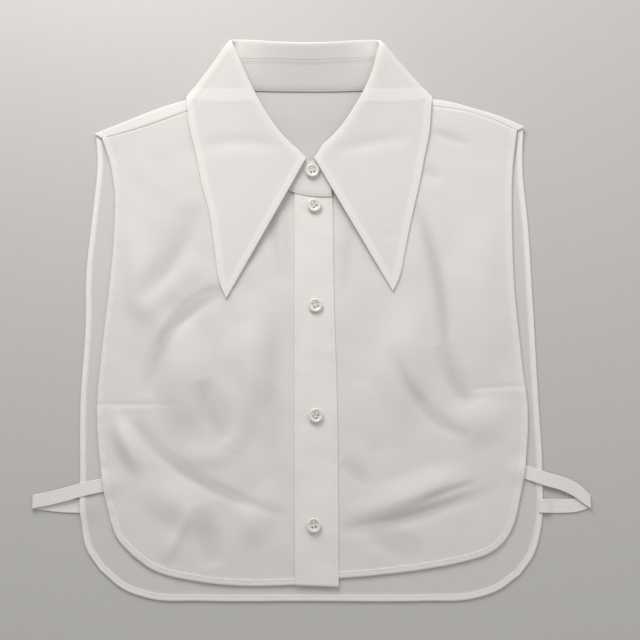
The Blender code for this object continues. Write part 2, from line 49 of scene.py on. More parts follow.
# The table top that the garment is laid on, plain and pale, under a broad soft window light from
# the upper left, a weaker one from the right, and a pale room. The camera looks down from the hem.
FLOOR_SIZE = 6000.0
FLOOR_COLOUR = (0.55, 0.545, 0.54)
FLOOR_DROP = 0.15
CAMERA_PLACE = (6.2, -149.67, 676.6)
CAMERA_TILT = 11.6
CAMERA_LENS = 50.625
SENSOR = 36.0
ROOM_LIGHT = 0.44
Lamp = namedtuple("Lamp", "name place aim size power colour")
LAMPS = (
    Lamp("window", (-250.0, 760.0, 520.0), (20.0, 20.0, 0.0), 500.0, 6.6, (1.0, 0.962, 0.93)),
    Lamp("reflector", (700.0, 500.0, 700.0), (40.0, 0.0, 0.0), 800.0, 2.2, (1.0, 0.96, 0.93)),
)

scene.view_settings.view_transform = "Standard"
camera = bpy.data.objects.new("camera", bpy.data.cameras.new("camera"))
camera.data.sensor_width = SENSOR
camera.data.lens = CAMERA_LENS
camera.data.clip_start = 0.01
camera.location = [part * MM for part in CAMERA_PLACE]
camera.rotation_euler = (math.radians(CAMERA_TILT), 0.0, 0.0)
scene.collection.objects.link(camera)
scene.camera = camera

for lamp in LAMPS:
    light = bpy.data.lights.new(lamp.name, "AREA")
    light.size = lamp.size * MM
    light.energy = lamp.power
    light.color = lamp.colour
    holder = bpy.data.objects.new(lamp.name, light)
    holder.location = [part * MM for part in lamp.place]
    way = holder.location.copy()
    way.x -= lamp.aim[0] * MM
    way.y -= lamp.aim[1] * MM
    holder.rotation_euler = way.to_track_quat("Z", "Y").to_euler()
    scene.collection.objects.link(holder)

scene.world = bpy.data.worlds.new("room")
scene.world.use_nodes = True
room = scene.world.node_tree.nodes["Background"]
room.inputs["Color"].default_value = (1.0, 0.985, 0.965, 1.0)
room.inputs["Strength"].default_value = ROOM_LIGHT


class Value:
    """A value that varies over a surface, inside a material. Python's own operators work on it."""

    def __init__(self, finish, socket):
        self.finish = finish
        self.socket = socket

    def maths(self, operation, first, second=0.0):
        return self.finish.node("ShaderNodeMath", {0: first, 1: second}, operation=operation)

    def __add__(self, other):
        return self.maths("ADD", self, other)

    def __sub__(self, other):
        return self.maths("SUBTRACT", self, other)

    def __rsub__(self, other):
        return self.maths("SUBTRACT", other, self)

    def __mul__(self, other):
        return self.maths("MULTIPLY", self, other)

    __radd__ = __add__
    __rmul__ = __mul__

    def sine(self):
        return self.maths("SINE", self)


class Finish:
    """A material in the making: a shader, and the nodes that feed it."""

    def __init__(self, name, **constants):
        self.material = bpy.data.materials.new(name)
        self.material.use_nodes = True
        self.tree = self.material.node_tree
        self.shader = self.tree.nodes["Principled BSDF"]
        for socket, value in constants.items():
            self.shader.inputs[socket.replace("_", " ")].default_value = value

    def node(self, kind, sockets, output=0, stops=None, **settings):
        made = self.tree.nodes.new(kind)
        for setting, value in settings.items():
            setattr(made, setting, value)
        if stops:
            ramp = made.color_ramp.elements
            while len(ramp) < len(stops):
                ramp.new(0.5)
            for element, (place, shade) in zip(ramp, stops):
                element.position = place
                element.color = (shade, shade, shade, 1.0)
        for socket, value in sockets.items():
            if isinstance(value, Value):
                self.tree.links.new(value.socket, made.inputs[socket])
            else:
                made.inputs[socket].default_value = value
        return Value(self, made.outputs[output])

    def feed(self, socket, value):
        self.tree.links.new(value.socket, self.shader.inputs[socket])

    def mix(self, share, first, second):
        colours = [(*shade, 1.0) if isinstance(shade, tuple) else shade for shade in (first, second)]
        sockets = {0: share, 6: colours[0], 7: colours[1]}
        return self.node("ShaderNodeMix", sockets, output=2, data_type="RGBA")


floor_finish = Finish("pale_table", Roughness=0.6)
floor_grain = floor_finish.node("ShaderNodeTexNoise", {"Scale": 3.0, "Detail": 3.0})
floor_shade = tuple(0.97 * part for part in FLOOR_COLOUR)
floor_finish.feed("Base Color", floor_finish.mix(floor_grain, FLOOR_COLOUR, floor_shade))
half = FLOOR_SIZE / 2 * MM
floor_mesh = bpy.data.meshes.new("table_top")
floor_mesh.from_pydata(
    [(x, y, -FLOOR_DROP * MM) for x, y in ((-half, -half), (half, -half), (half, half), (-half, half))],
    [], [(0, 1, 2, 3)],
)
floor_mesh.materials.append(floor_finish.material)
floor = bpy.data.objects.new("table_top", floor_mesh)
scene.collection.objects.link(floor)

# The back is one layer of the cotton, greyer than the rest because it lets the table show through.
# Its sides and hem are turned under twice and stitched, and its shoulders fold forward over the
# fronts' upper edges to the shoulder seams.
BACK_WALL = 0.7
HEM_WALL = 1.15
HEM_WIDTH = 4.2
HEM_STEP = 0.7
EDGE_BULGE = 0.3
SEAM_POINTS = 48
# Painted shadow of the collar on the back inside the neck opening: how dark, from what height, and over what
# rise.
NECK_SHADE = 0.5
NECK_SHADE_FROM = 110.0
NECK_SHADE_OVER = 30.0
SHOULDER_TONE = 0.85
BACK_FACES = (116, 124)
SHOULDER_FACES = 34
TURN_FACES = 8
SHOULDER_TOP = 2.6
SEAM_GAP = 0.3
CLIMB_HEIGHT = 1.5
CLIMB_FROM = 116.0
CLIMB_TO = 162.0
BACK_COLOUR = (0.66, 0.65, 0.64)
HEM_COLOUR = (0.86, 0.845, 0.83)
BACK_LEFT = (
    (-153.3, -196.0), (-163.5, -182.0), (-169.0, -160.0), (-171.8, -120.0), (-174.0, -72.0),
    (-173.2, -15.0), (-174.8, 21.0), (-172.0, 80.0), (-170.6, 118.0), (-173.0, 139.5),
)
BACK_HEM = (
    (-153.3, -196.0), (-137.0, -208.8), (-116.0, -216.0), (-80.0, -217.5), (-4.0, -217.6),
    (85.0, -217.5), (114.0, -216.4), (134.0, -210.6), (151.0, -199.4),
)
BACK_RIGHT = (
    (151.0, -199.4), (161.5, -185.5), (168.0, -166.0), (170.8, -130.0), (170.5, -70.0),
    (169.9, 5.0), (169.1, 65.0), (167.0, 112.0), (168.9, 145.5),
)
BACK_NECK = (
    (-83.5, 172.0), (-81.6, 178.0), (-73.0, 182.4), (-40.0, 181.2), (-4.0, 180.6), (35.0, 181.2),
    (70.0, 182.2), (78.4, 177.8), (80.0, 171.5),
)
FOLD_LEFT = ((-173.0, 139.5), (-146.0, 151.0), (-116.0, 163.2), (-100.9, 167.9), (-83.5, 172.0))
FOLD_RIGHT = ((80.0, 171.5), (95.0, 168.9), (110.4, 166.4), (126.8, 161.6), (150.6, 153.9), (168.9, 145.5))
SEAM_LEFT = ((-167.5, 136.2), (-145.6, 142.0), (-121.9, 150.2), (-100.6, 158.5), (-78.4, 167.0))
SEAM_RIGHT = ((75.4, 166.0), (96.0, 163.4), (122.7, 159.4), (150.4, 149.4), (163.4, 142.6))
Hump = namedtuple("Hump", "x y half_length half_width turn height")
OVER_STRAP = (Hump(-168.5, -150.7, 18.0, 18.0, 0.0, 1.5),)


def through(rows, faces, measured=None):
    """The rows, with so many faces from each to the next, on a smooth curve through them."""
    rows = np.asarray(rows, float)
    steps = np.linalg.norm(np.diff(rows[:, :measured], axis=0), axis=1)
    knots = np.concatenate([[0.0], np.cumsum(steps)])
    slopes = np.gradient(rows, knots, axis=0)
    found = []
    for start, span in enumerate(steps):
        for t in np.arange(faces) / faces:
            found.append(
                (2 * t**3 - 3 * t**2 + 1) * rows[start]
                + (t**3 - 2 * t**2 + t) * span * slopes[start]
                + (3 * t**2 - 2 * t**3) * rows[start + 1]
                + (t**3 - t**2) * span * slopes[start + 1]
            )
    return np.array([*found, rows[-1]])


def evenly(points, faces, start=0.0):
    """faces + 1 points evenly along a smooth curve through the given ones, from a start on it."""
    fine = through(points, 12)
    along = np.concatenate([[0.0], np.cumsum(np.linalg.norm(np.diff(fine, axis=0), axis=1))])
    wanted = np.linspace(start, along[-1], faces + 1)
    return np.stack([np.interp(wanted, along, column) for column in fine.T], axis=1)


def joined(*stretches):
    """One line from stretches that share their ends."""
    return np.concatenate([stretches[0], *[stretch[1:] for stretch in stretches[1:]]])


def unit(vectors):
    return vectors / np.maximum(np.linalg.norm(vectors, axis=-1, keepdims=True), 1e-9)


def moved_left(line, distance):
    """A plan line moved square to itself, to the left of the way it runs."""
    along = unit(np.gradient(line, axis=0))
    return line + distance * np.stack([-along[:, 1], along[:, 0]], axis=1)


def patch(bottom, top, left, right):
    """Rows of plan points that fill the four edges, which meet at their ends."""
    u = np.linspace(0.0, 1.0, len(bottom))[None, :, None]
    v = np.linspace(0.0, 1.0, len(left))[:, None, None]
    across = (1 - v) * bottom[None] + v * top[None]
    upward = (1 - u) * left[:, None] + u * right[:, None]
    corners = (1 - v) * ((1 - u) * bottom[0] + u * bottom[-1]) + v * ((1 - u) * top[0] + u * top[-1])
    return across + upward - corners


def climb(y):
    """How far the layers are lifted by the collar's back edge, which lies under them."""
    t = np.clip((y - CLIMB_FROM) / (CLIMB_TO - CLIMB_FROM), 0.0, 1.0)
    return CLIMB_HEIGHT * t * t * (3 - 2 * t)


def humps_at(x, y, humps):
    """The height of soft oval humps over a place."""
    total = np.zeros_like(x)
    for hump in humps:
        turn = math.radians(hump.turn)
        along = (x - hump.x) * math.cos(turn) + (y - hump.y) * math.sin(turn)
        across = (y - hump.y) * math.cos(turn) - (x - hump.x) * math.sin(turn)
        reach = np.minimum(np.hypot(along / hump.half_length, across / hump.half_width), 1.0)
        total += hump.height * np.cos(reach * math.pi / 2) ** 2
    return total


def ripple(x, y, length, seed):
    """A soft unevenness from -1 to 1, about so long from crest to crest."""
    waves = np.random.default_rng(seed).uniform(size=(7, 3))
    total = np.zeros(np.shape(x))
    for turn, stretch, start in waves:
        angle = 2 * math.pi * turn
        step = 2 * math.pi / (length * (0.7 + 0.9 * stretch))
        total += np.sin(step * (x * math.cos(angle) + y * math.sin(angle)) + 2 * math.pi * start)
    return total / 3.5


class Cloth:
    """A cut piece: the points and quads of its outer face, and how thick it is at each point.

    Each point also holds its place on the grain, how doubled the cloth is there, and how much its
    colour is darkened: painted shadow of the collar at the back's neck, and in the fronts' creases
    partly the table showing through where it lies close on the layer below and partly painted shade.
    """

    def __init__(self):
        self.points = []
        self.walls = []
        self.grains = []
        self.tones = []
        self.sheers_and_shades = []
        self.faces = []

    def add(self, points, wall, grain=None, tone=0.0, sheer=0.0):
        """Adds points of the outer face and gives their numbers in the same shape."""
        points = np.asarray(points, float)
        shape = points.shape[:-1]
        first = len(self.points)
        self.points.extend(points.reshape(-1, 3))
        self.walls.extend(np.broadcast_to(wall, shape).reshape(-1))
        self.grains.extend((points[..., :2] if grain is None else grain).reshape(-1, 2))
        self.tones.extend(np.broadcast_to(tone, shape).reshape(-1))
        self.sheers_and_shades.extend(np.broadcast_to(sheer, shape).reshape(-1))
        return np.arange(first, len(self.points)).reshape(shape)

    def weave(self, rows):
        """Fills quads between neighbouring rows of point numbers."""
        for low, high in zip(rows[:-1], rows[1:]):
            low, high = np.asarray(low), np.asarray(high)
            self.faces.extend(np.stack([low[:-1], low[1:], high[1:], high[:-1]], axis=1).tolist())

    def squares(self):
        """A vector square to each quad, twice as long as the quad's area."""
        corners = np.array(self.points)[np.array(self.faces)]
        return np.cross(corners[:, 2] - corners[:, 0], corners[:, 3] - corners[:, 1])

    def make(self, name, finish, normals=None):
        """One closed shell: the outer face, the inner one a wall away, and a rounded edge between.

        The wall goes square to the outer face, or else along the direction given for each point.
        """
        outer = np.array(self.points)
        faces = np.array(self.faces)
        wall = np.array(self.walls)[:, None]
        if normals is None:
            squares = self.squares()
            normals = np.zeros_like(outer)
            for corner in range(4):
                np.add.at(normals, faces[:, corner], squares)
            normals = unit(normals)
        inner = outer - wall * normals
        inner[:, 2] = np.maximum(inner[:, 2], 0.0)
        edges = np.concatenate([faces[:, [corner, (corner + 1) % 4]] for corner in range(4)])
        sides = {(int(a), int(b)) for a, b in edges}
        rim = np.array(sorted((a, b) for a, b in sides if (b, a) not in sides))
        away = np.zeros_like(outer)
        out = unit(np.cross(outer[rim[:, 1]] - outer[rim[:, 0]], normals[rim[:, 0]]))
        for end in range(2):
            np.add.at(away, rim[:, end], out)
        middle = (outer + inner) / 2 + unit(away) * wall * EDGE_BULGE
        count = len(outer)
        used = np.unique(rim)
        place = np.full(count, -1)
        place[used] = 2 * count + np.arange(len(used))
        a, b = rim.T
        quads = np.concatenate([
            faces,
            faces[:, ::-1] + count,
            np.stack([b, a, place[a], place[b]], axis=1),
            np.stack([place[b], place[a], a + count, b + count], axis=1),
        ])
        points = np.concatenate([outer, inner, middle[used]])
        points[:, 2] = np.maximum(points[:, 2], 0.0)
        mesh = bpy.data.meshes.new(name)
        mesh.from_pydata((points * MM).tolist(), [], quads.tolist())
        mesh.shade_smooth()
        grain = np.array(self.grains) * MM
        grain = np.concatenate([grain, grain, grain[used]])
        kept = mesh.attributes.new("grain", "FLOAT_VECTOR", "POINT")
        kept.data.foreach_set("vector", np.pad(grain, ((0, 0), (0, 1))).astype(np.float32).ravel())
        for label, values in (("tone", self.tones), ("sheer", self.sheers_and_shades)):
            values = np.array(values)
            kept = mesh.attributes.new(label, "FLOAT", "POINT")
            kept.data.foreach_set("value", np.concatenate([values, values, values[used]]).astype(np.float32))
        mesh.materials.append(finish.material)
        made = bpy.data.objects.new(name, mesh)
        scene.collection.objects.link(made)
        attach(made, "root")
        return made

    def area(self):
        """The area of the cloth in square metres."""
        return float(np.linalg.norm(self.squares(), axis=1).sum() / 2) * MM**2

    def spread(self):
        """The width and length that the cloth covers as it lies, in metres."""
        return tuple(float(side) for side in np.ptp(np.array(self.points)[:, :2], axis=0) * MM)


def cotton(name, colour, shade, threads=0.28, sheen=0.15):
    """Plain-woven cotton: fine threads both ways, slubs in them, a little unevenness in tone, and painted
    shade where the mesh marks it.
    """
    finish = Finish(name, Sheen_Weight=sheen, Sheen_Roughness=0.4, IOR=1.35)
    grain = finish.node("ShaderNodeAttribute", {}, output=1, attribute_name="grain")
    tone = finish.node("ShaderNodeAttribute", {}, output=2, attribute_name="tone")
    sheer = finish.node("ShaderNodeAttribute", {}, output=2, attribute_name="sheer")
    across = finish.node("ShaderNodeSeparateXYZ", {0: grain}, output=0)
    along = finish.node("ShaderNodeSeparateXYZ", {0: grain}, output=1)
    turn = math.pi / (threads * MM)
    weave = (across * turn).sine() * (along * turn).sine()
    slubs = []
    for stretch in ((2500.0, 60.0, 1.0), (60.0, 2500.0, 1.0)):
        drawn = finish.node("ShaderNodeVectorMath", {0: grain, 1: stretch}, operation="MULTIPLY")
        slubs.append(finish.node("ShaderNodeTexNoise", {"Vector": drawn, "Scale": 1.0, "Detail": 2.0}))
    slub = slubs[0] + slubs[1]
    cloud = finish.node("ShaderNodeTexNoise", {"Vector": grain, "Scale": 18.0, "Detail": 3.0})
    height = weave * 0.3 + slub * 0.8
    bump = finish.node("ShaderNodeBump", {"Strength": 0.35, "Distance": 0.0001, "Height": height})
    finish.feed("Normal", bump)
    finish.feed("Roughness", 0.72 + 0.12 * slub)
    thin = tuple(part * 0.94 for part in colour)
    plain = finish.mix(cloud * 0.6 + slub * 0.2, colour, thin)
    # Painted shade: the colour darkens to 0.8 of itself where the mesh marks it, in the fronts' creases and
    # at the back's neck.
    plain = finish.mix(sheer, plain, tuple(part * 0.8 for part in colour))
    finish.feed("Base Color", finish.mix(tone, plain, shade))
    return finish


def hem_lines(outline, start_edge, end_edge, distances):
    """Lines inside the outline at these distances, ending on its two edges."""
    lines = []
    for distance in distances:
        line = moved_left(outline, distance)
        line[0] = evenly(start_edge, 1, distance)[0]
        line[-1] = evenly(end_edge, 1, distance)[0]
        lines.append(line)
    return lines


HEM_STEPS = (0.0, 0.8, 2.0, 3.2, HEM_WIDTH - 0.4, HEM_WIDTH, HEM_WIDTH + HEM_STEP)
HEM_SHARE = (0.75, 1.0, 1.0, 0.85, 0.95, 0.55, 0.0)
HEM_TONE = 0.9
PUCKER_DEPTH = 0.12
PUCKER_LENGTH = 9.0


def hem_wall(line, share, wall, seed):
    """How thick the hem is along one of its lines, uneven where the stitches draw it in."""
    x, y = line.T
    pucker = PUCKER_DEPTH * ripple(x, y, PUCKER_LENGTH, seed) * share
    return wall + (HEM_WALL - wall) * share + pucker


back_cotton = cotton("single_cotton", BACK_COLOUR, HEM_COLOUR)
back = Cloth()
left = evenly(BACK_LEFT, BACK_FACES[1])
hem = evenly(BACK_HEM, BACK_FACES[0])
right = evenly(BACK_RIGHT, BACK_FACES[1])
outline = joined(left[::-1], hem, right)
rings = hem_lines(outline, FOLD_LEFT, FOLD_RIGHT[::-1], HEM_STEPS)
inner = rings[-1]
border = HEM_STEPS[-1]
top = joined(
    evenly(FOLD_LEFT, SHOULDER_FACES, border),
    evenly(BACK_NECK, BACK_FACES[0] - 2 * SHOULDER_FACES),
    evenly(FOLD_RIGHT[::-1], SHOULDER_FACES, border)[::-1],
)
corners = BACK_FACES[1], BACK_FACES[1] + BACK_FACES[0]
plan = patch(inner[corners[0] : corners[1] + 1], top, inner[corners[0] :: -1], inner[corners[1] :])
level = climb(plan[..., 1]) + humps_at(plan[..., 0], plan[..., 1], OVER_STRAP) + BACK_WALL
# Painted shadow of the collar: the back darkens inside the neck opening as it nears the neckline.
shaded = NECK_SHADE * np.clip((plan[..., 1] - NECK_SHADE_FROM) / NECK_SHADE_OVER, 0.0, 1.0)
body = back.add(np.dstack([plan, level]), BACK_WALL, sheer=shaded)
back.weave(body)
numbers = []
for share, line in zip(HEM_SHARE[:-1], rings[:-1]):
    thick = hem_wall(line, share, BACK_WALL, 3)
    raised = np.column_stack([line, climb(line[:, 1]) + humps_at(*line.T, OVER_STRAP) + thick])
    numbers.append(back.add(raised, thick, tone=HEM_TONE * share))
numbers.append(np.concatenate([body[::-1, 0], body[0, 1:-1], body[:, -1]]))
back.weave(numbers)
tips = [line[0] for line in numbers[:-1]], [line[-1] for line in numbers[-2::-1]]
crests = (
    (np.array([*tips[0], *body[-1, : SHOULDER_FACES + 1]]), SEAM_LEFT),
    (np.array([*body[-1, -SHOULDER_FACES - 1 :], *tips[1]]), SEAM_RIGHT),
)
for crest, seam in crests:
    start = np.array([back.points[number] for number in crest])
    radius = (SHOULDER_TOP - BACK_WALL) / 2
    outer_radius = SHOULDER_TOP / 2
    away = moved_left(start[::-1, :2], 1.0)[::-1] - start[:, :2]
    away = -away if away[len(away) // 2][1] < 0 else away
    share = np.linalg.norm(start[:, :2] - start[0, :2], axis=1)
    share = share / share[-1]
    seam_line = moved_left(evenly(seam, SEAM_POINTS), SEAM_GAP)
    along = np.linspace(0.0, 1.0, len(seam_line))
    target = np.stack([np.interp(share, along, column) for column in seam_line.T], axis=1)
    ground = climb(start[:, 1])
    rows = [crest]
    wall = np.array([back.walls[number] for number in crest])
    for step in range(1, TURN_FACES + 1):
        angle = math.pi * step / TURN_FACES
        turned = start.copy()
        turned[:, :2] += away * (outer_radius - wall[:, None]) * math.sin(angle)
        turned[:, 2] = ground + outer_radius - (outer_radius - wall) * math.cos(angle)
        rows.append(back.add(turned, wall, tone=SHOULDER_TONE))
    landed = np.column_stack([target, climb(target[:, 1]) + SHOULDER_TOP - wall])
    for share in (0.25, 0.5, 0.75, 1.0):
        rows.append(back.add((1 - share) * turned + share * landed, wall, tone=SHOULDER_TONE))
    back.weave(rows)
back_piece = back.make("back_panel_cloth", back_cotton)
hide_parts("back_panel")


def seam_spans(line, pitch=2.6, length=1.9):
    """The two ends of each stitch in a row of them along a line."""
    line = np.asarray(line, float)
    far = np.concatenate([[0.0], np.cumsum(np.linalg.norm(np.diff(line, axis=0), axis=1))])
    spans = []
    for start in np.arange(pitch / 2, far[-1] - length, pitch):
        ends = [[np.interp(start + step, far, column) for column in line.T] for step in (0.0, length)]
        spans.append(np.array(ends))
    return spans


def stitches(name, finish, spans, thick=0.34, sunk=0.14):
    """One joined mesh of stitches, each a short thread that is sunk into the cloth at its ends."""
    sides = 6
    profile = ((0.0, 0.35, -1.0), (0.2, 1.0, 0.2), (0.8, 1.0, 0.2), (1.0, 0.35, -1.0))
    points, faces = [], []
    for start, end in spans:
        along = unit(end - start)
        aside = unit(np.cross((0.0, 0.0, 1.0), along))
        up = np.cross(along, aside)
        first = len(points)
        for share, girth, lift in profile:
            centre = start + share * (end - start) + up * lift * sunk
            for side in range(sides):
                turn = 2 * math.pi * (side + 0.5) / sides
                points.append(centre + girth * thick / 2 * (aside * math.cos(turn) + up * math.sin(turn)))
        for ring in range(len(profile) - 1):
            for side in range(sides):
                a = first + ring * sides + side
                b = first + ring * sides + (side + 1) % sides
                faces.append((a, b, b + sides, a + sides))
        faces.append(tuple(range(first + sides - 1, first - 1, -1)))
        last = first + (len(profile) - 1) * sides
        faces.append(tuple(range(last, last + sides)))
    mesh = bpy.data.meshes.new(name)
    mesh.from_pydata((np.array(points) * MM).tolist(), [], faces)
    mesh.shade_smooth()
    mesh.materials.append(finish.material)
    made = bpy.data.objects.new(name, mesh)
    scene.collection.objects.link(made)
    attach(made, "root")
    return made


THREAD_COLOUR = (0.86, 0.86, 0.85)
thread = Finish("sewing_thread", Roughness=0.6, Sheen_Weight=0.2)
twist = thread.node("ShaderNodeTexNoise", {"Scale": 900.0, "Detail": 1.0})
thread.feed("Base Color", thread.mix(twist, THREAD_COLOUR, tuple(0.93 * part for part in THREAD_COLOUR)))
STITCH_LINE = 4
back_points = np.array(back.points)
sewn = stitches("back_panel_stitching", thread, seam_spans(back_points[numbers[STITCH_LINE]]))

# The collar is cut in white cotton with interfacing inside, doubled, and pressed. Its band stands
# on the neck seam, leans up to the leaf, and is buttoned at the front: each row of this table is a
# section of the collar, from the band's end that lies on top round the neck to the one below.
FACES_PER_SECTION = 14
BAND_WALL = 1.1
BAND_FACES = 22
BAND_STITCH = 1.8
BAND_PRESS = 0.4
PRESS_REACH = 2.4
BAND_HOLLOW = 0.25
HOLLOW_REACH = 2.6
STITCH_DEPTH = 0.22
LEAF_GAP = 0.1
COLLAR_COLOUR = (0.80, 0.782, 0.766)
Section = namedtuple("Section", "seam fold edge fall roll bend")
Station = namedtuple("Station", "seam fold edge fall roll bend inward back above")
BAND_END_ABOVE = Section((15.5, 87.3, 5.0), (14.0, 122.5, 7.4), (15.5, 87.3, 5.0), 1.0, 4.0, 1.8)
BAND_END_BELOW = Section((-10.5, 90.2, 2.9), (-9.0, 123.5, 5.2), (-10.5, 90.2, 2.9), 1.0, 4.0, 1.8)
LEFT_FRONT = (
    Section((0.5, 87.8, 4.9), (-4.8, 118.8, 7.5), (-65.8, 5.6, 4.4), 1.0, 3.0, 1.8),
    Section((-12.0, 90.0, 4.9), (-10.0, 124.2, 7.6), (-71.5, 20.0, 4.3), 1.0, 4.0, 1.8),
    Section((-26.0, 97.0, 4.1), (-17.8, 131.2, 8.1), (-75.3, 44.0, 4.3), 1.0, 4.0, 1.8),
    Section((-39.0, 108.3, 3.6), (-25.8, 140.0, 8.9), (-79.8, 72.0, 4.3), 1.0, 4.0, 1.8),
    Section((-54.0, 127.0, 4.0), (-35.2, 153.5, 10.2), (-86.6, 97.0, 4.3), 1.0, 4.0, 1.8),
    Section((-66.0, 145.0, 4.8), (-43.2, 167.5, 11.8), (-92.0, 122.0, 4.7), 1.0, 4.5, 1.8),
    Section((-73.0, 158.0, 5.3), (-51.5, 184.0, 13.6), (-97.2, 143.0, 5.6), 1.0, 5.0, 1.7),
)
LEFT_CORNER = (
    Section((-76.9, 165.5, 5.9), (-60.4, 205.0, 15.7), (-99.2, 156.0, 6.2), 1.0, 7.0, 1.5),
    Section((-79.2, 170.0, 5.9), (-63.4, 211.0, 16.1), (-100.2, 165.0, 6.4), 1.0, 8.5, 1.3),
    Section((-80.2, 174.3, 4.3), (-64.8, 215.3, 14.3), (-101.0, 171.8, 4.2), 1.3, 10.5, 1.3),
    Section((-78.8, 177.8, 3.0), (-63.4, 217.4, 11.9), (-99.4, 173.4, 1.0), 2.5, 13.0, 1.3),
    Section((-75.2, 179.3, 2.9), (-60.0, 217.8, 10.9), (-93.0, 171.6, 0.0), 4.5, 15.5, 1.4),
)
NAPE = (
    Section((-61.0, 178.4, 2.8), (-50.0, 216.6, 12.6), (-72.0, 169.0, 0.0), 5.0, 15.8, 1.6),
    Section((-35.0, 177.2, 2.9), (-30.0, 213.8, 15.2), (-38.0, 168.0, 0.0), 5.0, 14.0, 1.8),
    Section((-4.0, 176.8, 2.9), (-6.0, 212.6, 16.0), (-4.0, 167.6, 0.0), 5.0, 14.0, 1.8),
    Section((29.0, 177.2, 2.9), (20.0, 213.8, 15.2), (32.0, 168.0, 0.0), 5.0, 14.0, 1.8),
    Section((56.0, 178.4, 2.8), (36.5, 216.4, 12.4), (66.0, 169.0, 0.0), 5.0, 15.8, 1.6),
)
RIGHT_CORNER = (
    Section((69.0, 179.2, 2.9), (45.8, 217.8, 10.2), (87.0, 171.6, 0.0), 4.5, 15.5, 1.4),
    Section((73.8, 177.8, 3.0), (50.2, 217.6, 10.8), (94.0, 173.4, 1.0), 2.5, 13.0, 1.3),
    Section((77.3, 174.6, 4.1), (53.5, 215.6, 13.2), (96.0, 171.8, 4.2), 1.3, 10.5, 1.3),
    Section((77.4, 170.6, 5.7), (53.6, 211.5, 15.8), (95.4, 165.0, 6.4), 1.0, 8.5, 1.3),
    Section((75.2, 166.5, 6.1), (52.0, 205.0, 15.9), (94.6, 155.0, 6.2), 1.0, 7.0, 1.5),
)
RIGHT_FRONT = (
    Section((71.0, 158.4, 5.3), (46.6, 186.0, 13.6), (92.8, 139.0, 5.5), 1.0, 5.0, 1.7),
    Section((64.0, 148.6, 4.8), (39.3, 170.4, 11.8), (89.0, 121.0, 4.7), 1.0, 4.5, 1.8),
    Section((55.0, 136.5, 4.0), (31.8, 157.6, 10.2), (85.0, 101.0, 4.3), 1.0, 4.0, 1.8),
    Section((43.0, 120.5, 3.3), (22.5, 144.0, 9.0), (78.3, 73.0, 4.3), 1.0, 4.0, 1.8),
    Section((32.5, 109.5, 3.0), (14.0, 134.5, 8.1), (72.1, 44.0, 4.3), 1.0, 4.0, 2.0),
    Section((22.0, 98.5, 2.9), (8.0, 129.0, 7.1), (67.8, 24.0, 4.3), 1.0, 4.0, 2.3),
    Section((12.0, 91.5, 3.0), (1.3, 119.0, 6.4), (62.3, 11.3, 4.4), 1.0, 3.0, 2.6),
)
SECTIONS = (
    BAND_END_ABOVE, *LEFT_FRONT, *LEFT_CORNER, *NAPE, *RIGHT_CORNER, *RIGHT_FRONT, BAND_END_BELOW,
)
table = [[*s.seam, *s.fold, *s.edge, s.fall, s.roll, s.bend] for s in SECTIONS]
rows = through(table, FACES_PER_SECTION, measured=6)
leaf_rows = through(table[1:-1], FACES_PER_SECTION, measured=6)
seams, folds, edges = rows[:, 0:3], rows[:, 3:6], rows[:, 6:9]
edges[FACES_PER_SECTION:-FACES_PER_SECTION] = leaf_rows[:, 6:9]
edges[:, 2] = np.maximum(edges[:, 2], 0.0)
inwards = unit(seams - folds)
backs = unit(inwards + unit((edges - folds) * (1, 1, 0)))
aboves = unit(np.cross(np.gradient(seams + folds, axis=0), backs))
collar = [Station(*at) for at in zip(seams, folds, edges, *rows[:, 9:].T, inwards, backs, aboves)]

collar_cotton = cotton("collar_cotton", COLLAR_COLOUR, HEM_COLOUR, threads=0.26, sheen=0.12)
band = Cloth()
rows = []
along = 0.0
tallest = 0.0
before = None
band_line = []
share = (1 - np.cos(np.linspace(0.0, math.pi, BAND_FACES + 1)))[:, None] / 2
for at in collar:
    upper = at.fold + (at.roll + LEAF_GAP) * at.inward - (at.bend - BAND_WALL) * at.above
    row = (1 - share) * upper + share * at.seam
    height = np.linalg.norm(at.seam - upper)
    along += np.linalg.norm(row[-1] - before) if before is not None else 0.0
    before = row[-1]
    tallest = max(tallest, height)
    band_line.append(at.seam + BAND_STITCH / height * (upper - at.seam) - (0.0, 0.0, STITCH_DEPTH))
    grain = np.column_stack([np.full(len(row), along), share[:, 0] * height])
    near = np.minimum(share, 1 - share)[:, 0] * height
    pressed = BAND_PRESS * np.exp(-((((1 - share[:, 0]) * height) / PRESS_REACH) ** 2))
    row[:, 2] -= pressed
    wall = BAND_WALL - BAND_HOLLOW * (1 - np.exp(-((near / HOLLOW_REACH) ** 4))) - pressed
    rows.append(band.add(row, wall, grain))
band.weave(rows[::-1])
band_piece = band.make("collar_band_cloth", collar_cotton)
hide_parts("collar_band")
sewn = stitches("collar_band_stitching", thread, seam_spans(band_line))

# The leaf is a long pointed piece of the same doubled cotton. It is sewn into the top of the band,
# turns over in a soft roll and lies on the fronts. Its turned-in edges show as a firm border with
# a row of stitches near the edge, and a soft fold lies across each side where it leaves the roll.
LEAF_WALL = 0.9
LEAF_FACES = 48
ROLL_FACES = 8
FOLD_FACES = 12
LEAF_SETTLE = 0.5
LEAF_PUFF = 0.7
LEAF_PUFF_REACH = 5.0
BORDER_WIDTH = 5.0
BORDER_RISE = 0.22
EDGE_PRESS = 0.12
ROLL_CROWDING = 1.7
FALL_CROWDING = 1.2
EDGE_STITCH = 1.4
EDGE_STEPS = np.array([7.6, 6.6, 5.9, 5.4, 5.0, 4.6, 4.0, 3.2, 2.4, 1.8, 1.4, 1.0, 0.5, 0.0])
Crease = namedtuple("Crease", "x0 y0 x1 y1 x2 y2 width height")
LEAF_CREASES = (
    Crease(-92, 125, -60, 131, -18, 124, 6.0, -0.8),
    Crease(14, 121, 46, 130, 82, 138, 6.0, -0.8),
    Crease(52, 50, 61, 55, 68, 59, 3.0, -0.3),
)


